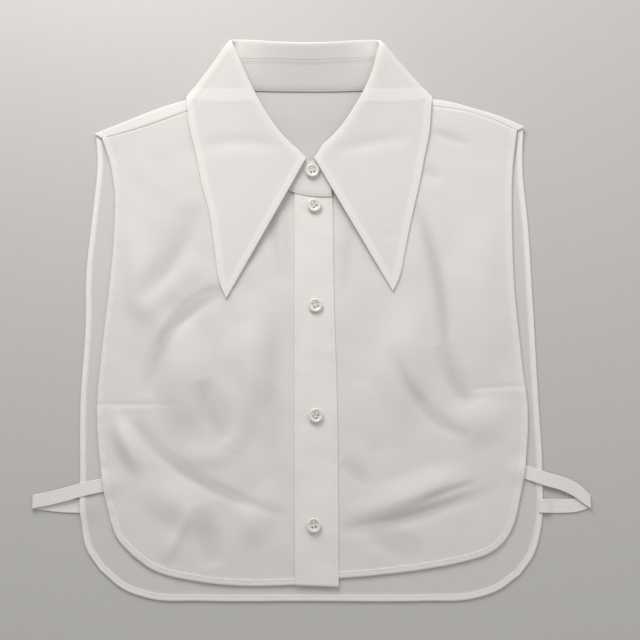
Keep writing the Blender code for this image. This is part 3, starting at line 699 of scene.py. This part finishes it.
def along_line(x, y, line):
    """How far points are from a line, and how far along it, from 0 to 1, the nearest place is."""
    nearest = np.full(x.shape, 1e9)
    share = np.zeros(x.shape)
    for index, (a, b) in enumerate(zip(line[:-1], line[1:])):
        run = b - a
        t = np.clip(((x - a[0]) * run[0] + (y - a[1]) * run[1]) / (run @ run), 0.0, 1.0)
        gap = np.hypot(x - a[0] - t * run[0], y - a[1] - t * run[1])
        share = np.where(gap < nearest, (index + t) / (len(line) - 1), share)
        nearest = np.minimum(gap, nearest)
    return nearest, share


def creases_at(x, y, creases):
    """Soft troughs and ridges, each on a curve through three points and fading at its two ends."""
    total = np.zeros_like(x)
    t = np.linspace(0.0, 1.0, 19)[:, None]
    for crease in creases:
        ends = np.array([[crease.x0, crease.y0], [crease.x1, crease.y1], [crease.x2, crease.y2]], float)
        line = (1 - t) * (1 - 2 * t) * ends[0] + 4 * t * (1 - t) * ends[1] + t * (2 * t - 1) * ends[2]
        gap, share = along_line(x, y, line)
        fade = np.sin(math.pi * np.clip(share, 0.0, 1.0)) ** 0.8
        total += crease.height * fade * np.exp(-((gap / crease.width) ** 2))
    return total


def inset_line(rows, gaps, inset):
    """Where rows that start at an edge are first so far from it, for the rows that stay clear."""
    line = []
    for row, gap in zip(rows, gaps):
        if gap[-1] > inset and np.all(np.diff(gap) > 0) and row[0][2] > LEAF_WALL:
            line.append([np.interp(inset, gap, column) for column in row.T])
    return line


leaf = Cloth()
ring = collar[FACES_PER_SECTION:-FACES_PER_SECTION]
falls = []
for at in ring:
    centre = at.fold + at.bend * at.back
    start = at.fold + at.roll * at.inward - at.bend * at.above
    row = [start]
    first = centre - at.bend * at.above
    for step in range(1, ROLL_FACES):
        row.append(start + (first - start) * (step / ROLL_FACES) ** ROLL_CROWDING)
    for step in range(FOLD_FACES + 1):
        angle = math.pi * step / FOLD_FACES
        row.append(centre - at.bend * (math.cos(angle) * at.above + math.sin(angle) * at.back))
    crest = row[-1]
    length = np.linalg.norm(at.edge - crest)
    low = at.edge[2] > 3.0
    inner_part = np.linspace(0.0, 1.0, LEAF_FACES + 1)[1:] ** FALL_CROWDING * (length - EDGE_STEPS[0])
    for reach in np.concatenate([inner_part, length - EDGE_STEPS[1:]]):
        share = reach / length
        point = crest + share * (at.edge - crest)
        point[2] = at.edge[2] + (crest[2] - at.edge[2]) * (1 - share) ** at.fall
        if low:
            far = share * length / LEAF_PUFF_REACH
            point = point + at.above * LEAF_PUFF * far * math.exp(1 - far)
            point[2] -= LEAF_SETTLE * share
        row.append(point)
    falls.append(row)
falls = np.array(falls)
down = np.linalg.norm(np.diff(falls, axis=1), axis=2)
down = np.concatenate([np.zeros((len(falls), 1)), np.cumsum(down, axis=1)], axis=1)
round_about = np.linalg.norm(np.diff(falls, axis=0), axis=2)
round_about = np.concatenate([np.zeros((1, falls.shape[1])), np.cumsum(round_about, axis=0)], axis=0)
seen = ROLL_FACES + FOLD_FACES
rim = np.concatenate([falls[0, seen:], falls[1:-1, -1], falls[-1, : seen - 1 : -1]])[:, :2]
to_edge, _ = along_line(falls[..., 0], falls[..., 1], rim)
visible = np.clip((np.arange(falls.shape[1]) - seen) / 6, 0.0, 1.0)[None, :]
border = visible / (1 + np.exp((to_edge - BORDER_WIDTH) / 0.5))
pressed = visible * np.exp(-(((to_edge - EDGE_STITCH) / 0.5) ** 2))
upward = np.array([at.above for at in ring])[:, None, :]
falls = falls + upward * (BORDER_RISE * border - EDGE_PRESS * pressed)[..., None]
falls[..., 2] += visible * creases_at(falls[..., 0], falls[..., 1], LEAF_CREASES)
grain = np.dstack([np.broadcast_to(round_about[:, -1:], down.shape), down])
rolled = BAND_WALL - LEAF_WALL
thick = LEAF_WALL + rolled * (visible == 0.0) + BORDER_RISE * border - EDGE_PRESS * pressed
numbers = leaf.add(falls, thick, grain, tone=0.8 * border)
leaf.weave(numbers[::-1])
leaf_piece = leaf.make("collar_leaf_cloth", collar_cotton)
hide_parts("collar_leaf")
middle = len(falls) // 2
spans = []
for part in (slice(0, middle), slice(middle, None)):
    rows = falls[part, : -len(EDGE_STEPS) - 1 : -1]
    spans += seam_spans(inset_line(rows, to_edge[part, : -len(EDGE_STEPS) - 1 : -1], EDGE_STITCH))
for part in (slice(0, 8), slice(-1, -9, -1)):
    rows = falls[part, seen:].swapaxes(0, 1)
    spans += seam_spans(inset_line(rows, to_edge[part, seen:].T, EDGE_STITCH))
sewn = stitches("collar_leaf_stitching", thread, spans)

# The fronts are the same thin cotton, doubled in tone by the back beneath them. Each is hemmed at
# its side and foot, shaped by a dart from the side to the bust, and joined to the back's shoulder.
FRONT_FACES = (86, 230)
FRONT_SHOULDER = 46
FRONT_WALL = 0.8
FRONT_TOP = 2.6
FRONT_SETTLE = 0.6
LEFT_NECK_GAP = -1.2
RIGHT_NECK_GAP = 0.5
FRONT_REST = 1.7
REST_SOFTNESS = 0.2
FRONT_HEM_TONE = 0.4
# The crease depth at which the painted shade in the fronts' troughs is full.
FULL_SHADE_DEPTH = 2.6
SETTLE_REACH = 15.0
SHOULDER_REACH = 14.0
SHOULDER_POINTS = 40
CALM_REACH = 12.0
HEM_CALM = 0.6
HEM_CALM_REACH = 9.0
FINE_RIPPLE = (0.16, 24.0)
BROAD_RIPPLE = (0.25, 60.0)
FRONT_COLOUR = (0.77, 0.752, 0.735)
FRONT_LEFT_SIDE = (
    (-130.0, -185.8), (-141.0, -174.5), (-149.5, -153.0), (-157.0, -118.0), (-161.0, -80.0),
    (-159.5, -35.0), (-156.5, 10.0), (-154.6, 55.0), (-155.7, 92.0), (-161.0, 118.0), (-167.5, 136.2),
)
FRONT_LEFT_HEM = ((-130.0, -185.8), (-117.0, -194.7), (-80.4, -204.2), (-51.5, -206.9), (-8.0, -206.3))
FRONT_RIGHT_SIDE = (
    (134.0, -181.6), (139.8, -176.6), (144.9, -169.6), (153.5, -144.0), (160.4, -105.0), (162.0, -84.0),
    (159.5, -46.0), (156.1, 15.0), (156.5, 68.0), (158.6, 108.0), (163.4, 142.6),
)
FRONT_RIGHT_HEM = ((-7.4, -203.4), (49.6, -199.3), (85.8, -194.8), (114.9, -189.0), (126.4, -185.5),
                   (134.0, -181.6))
MEET_LEFT = -8.2
MEET_RIGHT = -7.2
LEFT_HUMPS = (
    Hump(-151.0, -135.5, 16.0, 14.0, 0.0, 1.3),
    Hump(-98.0, -52.0, 58.0, 26.0, 98.0, 6.0),
    Hump(-133.0, 22.0, 62.0, 19.0, 100.0, 3.5),
    Hump(-46.0, -40.0, 70.0, 26.0, 84.0, 3.5),
    Hump(-137.0, -106.0, 30.0, 13.0, 118.0, 3.0),
    Hump(-96.0, -150.0, 42.0, 22.0, 150.0, 3.0),
    Hump(-42.0, -160.0, 34.0, 20.0, 60.0, 2.5),
)
RIGHT_HUMPS = (
    Hump(156.5, -125.8, 16.0, 14.0, 0.0, 1.3),
    Hump(70.0, -46.0, 66.0, 28.0, 84.0, 4.6),
    Hump(130.0, 10.0, 84.0, 28.0, 92.0, 3.2),
    Hump(123.0, -88.0, 34.0, 25.0, 20.0, 2.6),
    Hump(76.0, -142.0, 58.0, 19.0, 18.0, 3.2),
)
LEFT_CREASES = (
    Crease(-64, 13, -104, -14, -125, -70, 5.5, -3.4),
    Crease(-88, 84, -110, 40, -131, 2, 8.5, -2.0),
    Crease(-83, 38, -108, 14, -132, -12, 9.0, 1.5),
    Crease(-52, -14, -47, -68, -58, -112, 8.5, 1.9),
    Crease(-56, -106, -75, -116, -94, -108, 7.0, 1.2),
    Crease(-84, -58, -74, -82, -63, -104, 9.0, -2.3),
    Crease(-27, -6, -30, -73, -27, -134, 8.0, -1.2),
    Crease(-135, -87, -88, -129, -17, -158, 4.2, -1.9),
    Crease(-110, -112, -88, -128, -66, -141, 3.0, -0.8),
    Crease(-88, -148, -97, -172, -108, -191, 4.5, 1.6),
    Crease(-80, -150, -76, -173, -72, -194, 8.5, -1.8),
    Crease(-148, -78, -139, -102, -126, -126, 5.0, 1.0),
    Crease(-33, 80, -28, 48, -24, 17, 4.0, -1.1),
    Crease(-20, 72, -19, 45, -17, 17, 3.2, -0.8),
)
RIGHT_CREASES = (
    Crease(82, 82, 97, 20, 102, -46, 4.6, -3.2),
    Crease(98, -30, 108, -56, 122, -78, 7.5, -2.6),
    Crease(60, -34, 84, -78, 119, -101, 5.0, -2.0),
    Crease(40, -58, 44, -85, 49, -110, 7.0, 1.3),
    Crease(20, -167, 68, -160, 141, -136, 4.4, -1.6),
    Crease(72, -151, 98, -141, 124, -133, 2.6, -0.9),
    Crease(24, -156, 64, -148, 108, -127, 5.4, 0.8),
    Crease(40, -171, 60, -178, 84, -185, 7.0, -1.4),
    Crease(22, -118, 32, -127, 42, -137, 5.5, -1.3),
    Crease(93, 142, 110, 137, 128, 130, 4.0, -1.0),
    Crease(88, 111, 95, 106, 102, 100, 4.5, -0.8),
    Crease(30, 66, 28, 34, 24, 2, 4.5, -0.9),
)
Dart = namedtuple("Dart", "side_x side_y tip_x tip_y")
LEFT_DART = Dart(-161.0, -76.0, -94.0, -77.0)
RIGHT_DART = Dart(160.5, -62.0, 94.0, -66.5)


def dart_at(x, y, dart):
    """The dart's stitched line, and the allowance that is pressed down below it."""
    line = np.array([[dart.side_x, dart.side_y], [dart.tip_x, dart.tip_y]])
    gap, share = along_line(x, y, line)
    slope = (dart.tip_y - dart.side_y) / (dart.tip_x - dart.side_x)
    below = dart.side_y + slope * (x - dart.side_x) - y
    reach = 9.0 * (1 - share) + 0.5
    pinch = -0.55 * (1 - share) ** 0.5 * np.exp(-((gap / 1.7) ** 2))
    allowance = 0.3 * (1 - share) ** 0.3 * np.where(below > 0, np.exp(-((below / reach) ** 4)), 0.0)
    return pinch + allowance


def neck_line(ring, distance):
    """A front's neck edge: the band's seam over these stations, moved to its left."""
    return moved_left(np.array([at.seam[:2] for at in ring]), distance)


def from_x(line, x):
    """The part of a line beyond its crossing of a line square to X, on the side of its far end."""
    far = line[-1][0] > x
    crossing = next(i for i, point in enumerate(line) if (point[0] > x) == far)
    before, after = line[max(crossing - 1, 0)], line[crossing]
    share = (x - before[0]) / (after[0] - before[0]) if crossing else 0.0
    return np.concatenate([[before + share * (after - before)], line[crossing:]])


class Front:
    """One front: its cloth, its hem's stitch line, and the height of its upper face anywhere."""

    def __init__(self, side_points, hem_points, seam_points, neck, meet, humps, creases, dart, is_left, seed):
        self.humps, self.creases, self.dart, self.seed = humps, creases, dart, seed
        across, up = FRONT_FACES
        side = evenly(side_points, up)
        hem = evenly(hem_points, across)
        inset = HEM_STEPS[-1]
        shoulder = evenly(seam_points, FRONT_SHOULDER, inset)
        neck = from_x(neck, meet)
        neck[-1] = shoulder[-1]
        rim = evenly(neck, across - FRONT_SHOULDER)
        middle = np.array([hem[-1] if is_left else hem[0], rim[0]])
        meet_line = evenly(middle, up, inset)
        self.seam = evenly(seam_points, SHOULDER_POINTS)
        if is_left:
            self.outline = joined(side[::-1], hem)
            rings = hem_lines(self.outline, seam_points, middle, HEM_STEPS)
            plan = patch(rings[-1][up:], joined(shoulder, rim[::-1]), rings[-1][up::-1], meet_line)
        else:
            self.outline = joined(hem, side)
            rings = hem_lines(self.outline, middle, seam_points, HEM_STEPS)
            plan = patch(rings[-1][: across + 1], joined(rim, shoulder[::-1]), meet_line, rings[-1][across:])
        self.cloth = Cloth()
        x, y = plan[..., 0], plan[..., 1]
        # Painted shade in the creases: the front darkens with each trough's depth, partly for the table
        # showing through where it lies close on the back and partly as painted shade.
        crease_shade = np.clip(-creases_at(x, y, creases) / FULL_SHADE_DEPTH, 0.0, 1.0)
        body = self.cloth.add(np.dstack([plan, self.height(x, y)]), FRONT_WALL, sheer=crease_shade)
        self.cloth.weave(body)
        numbers = []
        for share, line in zip(HEM_SHARE[:-1], rings[:-1]):
            thick = hem_wall(line, share, FRONT_WALL, seed)
            x, y = line.T
            raised = np.column_stack([line, self.height(x, y) + thick - FRONT_WALL - 0.15 * (1 - share)])
            numbers.append(self.cloth.add(raised, thick, tone=FRONT_HEM_TONE * share))
        edge = [body[::-1, 0], body[0, 1:]] if is_left else [body[0], body[1:, -1]]
        numbers.append(np.concatenate(edge))
        self.cloth.weave(numbers)
        self.stitch_line = np.array(self.cloth.points)[numbers[STITCH_LINE]]

    def height(self, x, y):
        """The upper face's height: settled at the hems, and soft where it meets the layer below."""
        gap, _ = along_line(x, y, self.outline[::4])
        shoulder, _ = along_line(x, y, self.seam[::4])
        clear = 1 - np.exp(-((shoulder / SHOULDER_REACH) ** 2))
        settle = FRONT_SETTLE * np.exp(-((gap / SETTLE_REACH) ** 2)) * clear
        form = humps_at(x, y, self.humps) + creases_at(x, y, self.creases) + dart_at(x, y, self.dart)
        uneven = FINE_RIPPLE[0] * ripple(x, y, FINE_RIPPLE[1], self.seed)
        uneven = uneven + BROAD_RIPPLE[0] * ripple(x, y, BROAD_RIPPLE[1], self.seed + 1)
        calm = 1 - np.exp(-((shoulder / CALM_REACH) ** 2))
        calm = calm * (1 - HEM_CALM * np.exp(-((gap / HEM_CALM_REACH) ** 2)))
        raised = FRONT_TOP - settle + form + uneven * calm - FRONT_REST
        return climb(y) + FRONT_REST + REST_SOFTNESS * np.logaddexp(0.0, raised / REST_SOFTNESS)


front_cotton = cotton("front_cotton", FRONT_COLOUR, HEM_COLOUR)
left_stations = collar[FACES_PER_SECTION : (len(LEFT_FRONT) + 1) * FACES_PER_SECTION + 1]
right_stations = collar[: -(len(RIGHT_FRONT) + 1) * FACES_PER_SECTION - 2 : -1]
left_neck = neck_line(left_stations, LEFT_NECK_GAP)
right_neck = neck_line(right_stations, -RIGHT_NECK_GAP)
fronts = {
    "front_left": Front(FRONT_LEFT_SIDE, FRONT_LEFT_HEM, SEAM_LEFT, left_neck, MEET_LEFT,
                        LEFT_HUMPS, LEFT_CREASES, LEFT_DART, True, 11),
    "front_right": Front(FRONT_RIGHT_SIDE, FRONT_RIGHT_HEM, SEAM_RIGHT[::-1], right_neck, MEET_RIGHT,
                         RIGHT_HUMPS, RIGHT_CREASES, RIGHT_DART, False, 23),
}
for name, front in fronts.items():
    piece = front.cloth.make(name + "_cloth", front_cotton)
    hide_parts(name)
    front.cloth.spread()
    front.cloth.area()
    sewn = stitches(name + "_stitching", thread, seam_spans(front.stitch_line))

# The placket is a folded strip of the cotton, stitched down along both its edges on the front
# that laps over the other, with a worked buttonhole under each button.
PLACKET_WALL = 1.0
PLACKET_FACES = (24, 190)
PLACKET_LIFT = 0.2
PLACKET_STITCH = 2.4
PLACKET_PRESS = 0.3
PRESS_WIDTH = 0.7
PLACKET_CROWN = 0.25
CROWN_REACH = 1.2
PLACKET_COLOUR = (0.84, 0.822, 0.802)
PLACKET_LEFT = ((-11.6, -206.4), (-12.9, -72.0), (-13.6, 60.0), (-14.0, 90.7))
PLACKET_RIGHT = ((19.6, -207.6), (18.9, -72.0), (16.9, 4.0), (16.0, 88.4))
across, up = PLACKET_FACES
left, right = evenly(PLACKET_LEFT, up), evenly(PLACKET_RIGHT, up)
share = (1 - np.cos(np.linspace(0.0, math.pi, across + 1)))[None, :, None] / 2
plan = (1 - share) * left[:, None] + share * right[:, None]
x, y = plan[..., 0], plan[..., 1]
under = np.where(x < MEET_LEFT, fronts["front_left"].height(x, y), fronts["front_right"].height(x, y))
width = np.linalg.norm(right - left, axis=1)[:, None]
inset = np.minimum(share[..., 0], 1 - share[..., 0]) * width
press = PLACKET_PRESS * np.exp(-(((inset - PLACKET_STITCH) / PRESS_WIDTH) ** 2))
press = press * (1 + 0.5 * ripple(x, y, 7.0, 31))
crown = PLACKET_CROWN * np.exp(-((inset / CROWN_REACH) ** 2))
z = under + PLACKET_LIFT + PLACKET_WALL - press - crown + 0.08 * ripple(x, y, 18.0, 37)
placket_cotton = cotton("placket_cotton", PLACKET_COLOUR, HEM_COLOUR)
placket = Cloth()
placket.weave(placket.add(np.dstack([plan, z]), PLACKET_WALL - press - crown))
placket_piece = placket.make("placket_cloth", placket_cotton)
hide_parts("placket")


def height_near(points, x, y):
    """The height of a face at a place, from the four of its points that are nearest."""
    gaps = np.hypot(points[:, 0] - x, points[:, 1] - y)
    near = np.argsort(gaps)[:4]
    return float(np.average(points[near, 2], weights=1 / (gaps[near] + 0.01)))


placket_points = np.array(placket.points)
spans = []
for edge, sign in ((left, 1), (right, -1)):
    line = edge[2:-2] + np.array([sign * PLACKET_STITCH, 0.0])
    spans += seam_spans([(x, y, height_near(placket_points, x, y)) for x, y in line])
sewn = stitches("placket_stitching", thread, spans)

# Five round buttons cut from shell, each with four holes and a dished face, sewn on with two bars
# of white thread. The top one holds the collar's band and the rest close the placket.
BUTTON_STEPS = 56
HOLE_RADIUS = 0.7
HOLE_PITCH = 1.3
BAR_SPACING = 0.42
BAR_HEIGHT = 1.85
BAR_REACH = 1.45
HOLE_SIDES = 16
Button = namedtuple("Button", "name x y z tilt spin")
BUTTONS = (
    Button("band_button", 0.2, 107.6, 6.8, 4.0, 12.0),
    Button("button_1", 1.9, 79.8, None, 0.0, 38.0),
    Button("button_2", 2.8, -0.3, None, 0.0, 24.0),
    Button("button_3", 3.2, -84.5, None, 0.0, 61.0),
    Button("button_4", 1.8, -164.3, None, 0.0, 8.0),
)
SHELL_COLOUR = (0.80, 0.78, 0.755)
SHELL_CLOUD = (0.755, 0.75, 0.735)
SHELL_DEPTH = (0.0022, 0.0018, 0.0014)
shell = Finish("shell", Coat_Weight=0.3, Coat_Roughness=0.12, Subsurface_Weight=0.5,
               Subsurface_Radius=SHELL_DEPTH, Subsurface_Scale=1.0)
clouds = shell.node("ShaderNodeTexNoise", {"Scale": 260.0, "Detail": 3.0, "Distortion": 1.5})
shell.feed("Base Color", shell.mix(clouds, SHELL_COLOUR, SHELL_CLOUD))
shell.feed("Roughness", 0.28 + 0.12 * clouds)
profile = [(0.0, 1.55), (2.2, 1.5), (3.3, 1.62), (3.8, 1.95), (4.3, 2.2), (4.9, 2.12), (5.35, 1.75),
           (5.5, 1.3), (5.3, 0.8), (4.8, 0.3), (4.0, 0.05), (0.0, 0.0)]
lathe = bpy.data.meshes.new("button_profile")
profile = [(radius * MM, 0.0, height * MM) for radius, height in profile]
lathe.from_pydata(profile, [(i, i + 1) for i in range(len(profile) - 1)], [])
blank = bpy.data.objects.new("button_blank", lathe)
scene.collection.objects.link(blank)
turned = blank.modifiers.new("Turn", "SCREW")
turned.steps = turned.render_steps = BUTTON_STEPS
turned.use_merge_vertices = True
turned.merge_threshold = 0.00001
points, faces = [], []
for x in (-1, 1):
    for y in (-1, 1):
        first = len(points)
        for level in (-2.0, 5.0):
            for side in range(HOLE_SIDES):
                turn = 2 * math.pi * side / HOLE_SIDES
                points.append((
                    (x * HOLE_PITCH + HOLE_RADIUS * math.cos(turn)) * MM,
                    (y * HOLE_PITCH + HOLE_RADIUS * math.sin(turn)) * MM, level * MM,
                ))
        upper = first + HOLE_SIDES
        for side in range(HOLE_SIDES):
            step = (side + 1) % HOLE_SIDES
            faces.append((first + side, first + step, upper + step, upper + side))
        faces.append(tuple(range(upper - 1, first - 1, -1)))
        faces.append(tuple(range(upper, upper + HOLE_SIDES)))
pins = bpy.data.meshes.new("button_holes")
pins.from_pydata(points, [], faces)
drill = bpy.data.objects.new("button_holes", pins)
scene.collection.objects.link(drill)
cut = blank.modifiers.new("Holes", "BOOLEAN")
cut.operation = "DIFFERENCE"
cut.object = drill
bpy.context.view_layer.update()
button_mesh = bpy.data.meshes.new_from_object(blank.evaluated_get(bpy.context.evaluated_depsgraph_get()))
for helper in (blank, drill):
    bpy.data.objects.remove(helper)
button_mesh.materials.clear()
button_mesh.materials.append(shell.material)
button_mesh.shade_smooth()
button_mesh.set_sharp_from_angle(angle=math.radians(35))
bars = []
for button in BUTTONS:
    seat = height_near(placket_points, button.x, button.y) + 0.5 if button.z is None else button.z
    spin = math.radians(button.spin)
    made = bpy.data.objects.new(button.name + "_shell", button_mesh.copy())
    made.location = (button.x * MM, button.y * MM, seat * MM)
    made.rotation_euler = (math.radians(button.tilt), 0.0, spin)
    scene.collection.objects.link(made)
    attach(made, "root")
    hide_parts(button.name)
    ahead = np.array([-math.sin(spin), math.cos(spin), math.tan(math.radians(button.tilt))])
    aside = np.array([math.cos(spin), math.sin(spin), 0.0])
    for place in (-1, 1):
        for strand in (-0.5, 0.5):
            centre = np.array([button.x, button.y, seat + BAR_HEIGHT])
            centre = centre + (place * HOLE_PITCH + strand * BAR_SPACING) * aside
            bars.append((centre - BAR_REACH * ahead, centre + BAR_REACH * ahead))
sewn = stitches("button_threads", thread, bars, thick=0.45, sunk=0.9)

# The buttonholes are slits in the placket, up and down behind their buttons, and one across the
# band. Close satin stitches run along both sides of each slit, with a bar of them at its ends.
HOLE_LENGTH = 13.4
HOLE_WIDTH = 2.1
SATIN_PITCH = 0.4
SATIN_LIFT = 0.05
SLIT_SHARE = 0.12
band_points = np.array(band.points).reshape(len(collar), BAND_FACES + 1, 3)[: 2 * FACES_PER_SECTION]
band_points = band_points.reshape(-1, 3)
satin = []
for button in BUTTONS:
    ground = band_points if button.name == "band_button" else placket_points
    length_way, width_way = ((1, 0), (0, 1)) if button.name == "band_button" else ((0, 1), (1, 0))
    for step in np.arange(-HOLE_LENGTH / 2, HOLE_LENGTH / 2 + 0.01, SATIN_PITCH):
        is_bar = abs(step) > HOLE_LENGTH / 2 - 2 * SATIN_PITCH
        for ends in ((-1.0, 1.0),) if is_bar else ((-1.0, -SLIT_SHARE), (SLIT_SHARE, 1.0)):
            span = []
            for end in ends:
                x = button.x + step * length_way[0] + end * HOLE_WIDTH / 2 * width_way[0]
                y = button.y + step * length_way[1] + end * HOLE_WIDTH / 2 * width_way[1]
                span.append((x, y, height_near(ground, x, y) + SATIN_LIFT))
            satin.append(np.array(span))
sewn = stitches("buttonhole_stitching", thread, satin, thick=0.42, sunk=0.1)

# The side straps are flat white elastic with fine ribs along both faces. Each is caught under the
# front's side hem, runs out over the back's hem, folds once and comes back in, the left one under
# the back's hem and the right one on top of it.
STRAP_WALL = 0.9
STRAP_WIDTH = 9.6
STRAP_TURN = 1.2
TURN_STEPS = 12
OUT_FACES = 28
HOME_FACES = 24
HEADING_STEPS = 9
STRAP_FACES = 66
STRAP_RIBS = 11
RIB_DEPTH = 0.06
STRAP_COLOUR = (0.84, 0.822, 0.80)
Strap = namedtuple("Strap", "name out back")
STRAPS = (
    Strap(
        "strap_left",
        ((-147.0, -134.6, 1.72), (-152.0, -135.3, 1.74), (-158.0, -136.3, 2.3), (-164.0, -137.6, 3.1),
         (-172.0, -139.7, 3.2), (-182.0, -142.5, 3.1), (-193.0, -145.2, 2.7), (-204.3, -147.4, 2.4)),
        ((-204.3, -147.4, 0.0), (-193.0, -149.2, 0.0), (-182.0, -150.3, 0.0), (-174.0, -150.6, 0.0),
         (-165.5, -150.7, 0.0)),
    ),
    Strap(
        "strap_right",
        ((152.0, -123.8, 1.72), (157.0, -125.6, 1.76), (163.0, -127.6, 2.3), (168.0, -129.4, 2.7),
         (174.0, -131.4, 2.8), (184.0, -134.2, 2.8), (193.5, -138.4, 2.4), (204.3, -147.0, 2.4)),
        ((204.3, -147.0, 0.0), (194.5, -149.9, 0.0), (184.0, -150.7, 0.0), (177.4, -150.7, 0.0),
         (172.8, -150.6, 1.45), (167.4, -150.4, 1.45)),
    ),
)
elastic = cotton("ribbed_elastic", STRAP_COLOUR, HEM_COLOUR, threads=0.5, sheen=0.2)
for strap in STRAPS:
    out, home = evenly(strap.out, OUT_FACES), evenly(strap.back, HOME_FACES)
    home[:, 2] = np.maximum(home[:, 2], 0.0)
    end = out[-1]
    outward = np.array([math.copysign(1.0, end[0]), 0.0, 0.0])
    turn = []
    for step in range(1, TURN_STEPS):
        angle = math.pi * step / TURN_STEPS
        turn.append(end + STRAP_TURN * (outward * math.sin(angle) + np.array([0, 0, math.cos(angle) - 1])))
    path = np.array([*out, *turn, *home])
    heading = np.concatenate([np.gradient(out, axis=0), turn, np.gradient(home[::-1], axis=0)[::-1]])
    heading[len(out) : len(out) + len(turn)] = outward
    steps = np.arange(len(path))
    beyond = np.maximum(len(out) - 1 - steps, steps - len(out) - len(turn))
    share = np.clip(beyond / HEADING_STEPS, 0.0, 1.0)[:, None]
    heading = share * unit(heading) + (1 - share) * outward
    aside = unit(np.stack([-heading[:, 1], heading[:, 0], np.zeros(len(heading))], axis=1))
    share = np.linspace(-0.5, 0.5, STRAP_FACES + 1)
    ribs = RIB_DEPTH * (np.cos(2 * math.pi * STRAP_RIBS * share) - 1)
    rows = []
    cloth = Cloth()
    far = np.concatenate([[0.0], np.cumsum(np.linalg.norm(np.diff(path, axis=0), axis=1))])
    square = unit(np.cross(np.gradient(path, axis=0), aside))
    square = square if square[0][2] > 0 else -square
    for centre, side, away, run in zip(path, aside, square, far):
        points = centre + share[:, None] * STRAP_WIDTH * side + ribs[:, None] * away
        grain = np.column_stack([np.full(len(share), run), share * STRAP_WIDTH])
        rows.append(cloth.add(points, STRAP_WALL + 2 * ribs, grain))
    cloth.weave(rows[::-1])
    piece = cloth.make(strap.name + "_elastic", elastic, np.repeat(square, len(share), axis=0))
    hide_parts(strap.name)
    length = float(far[-1]) * MM
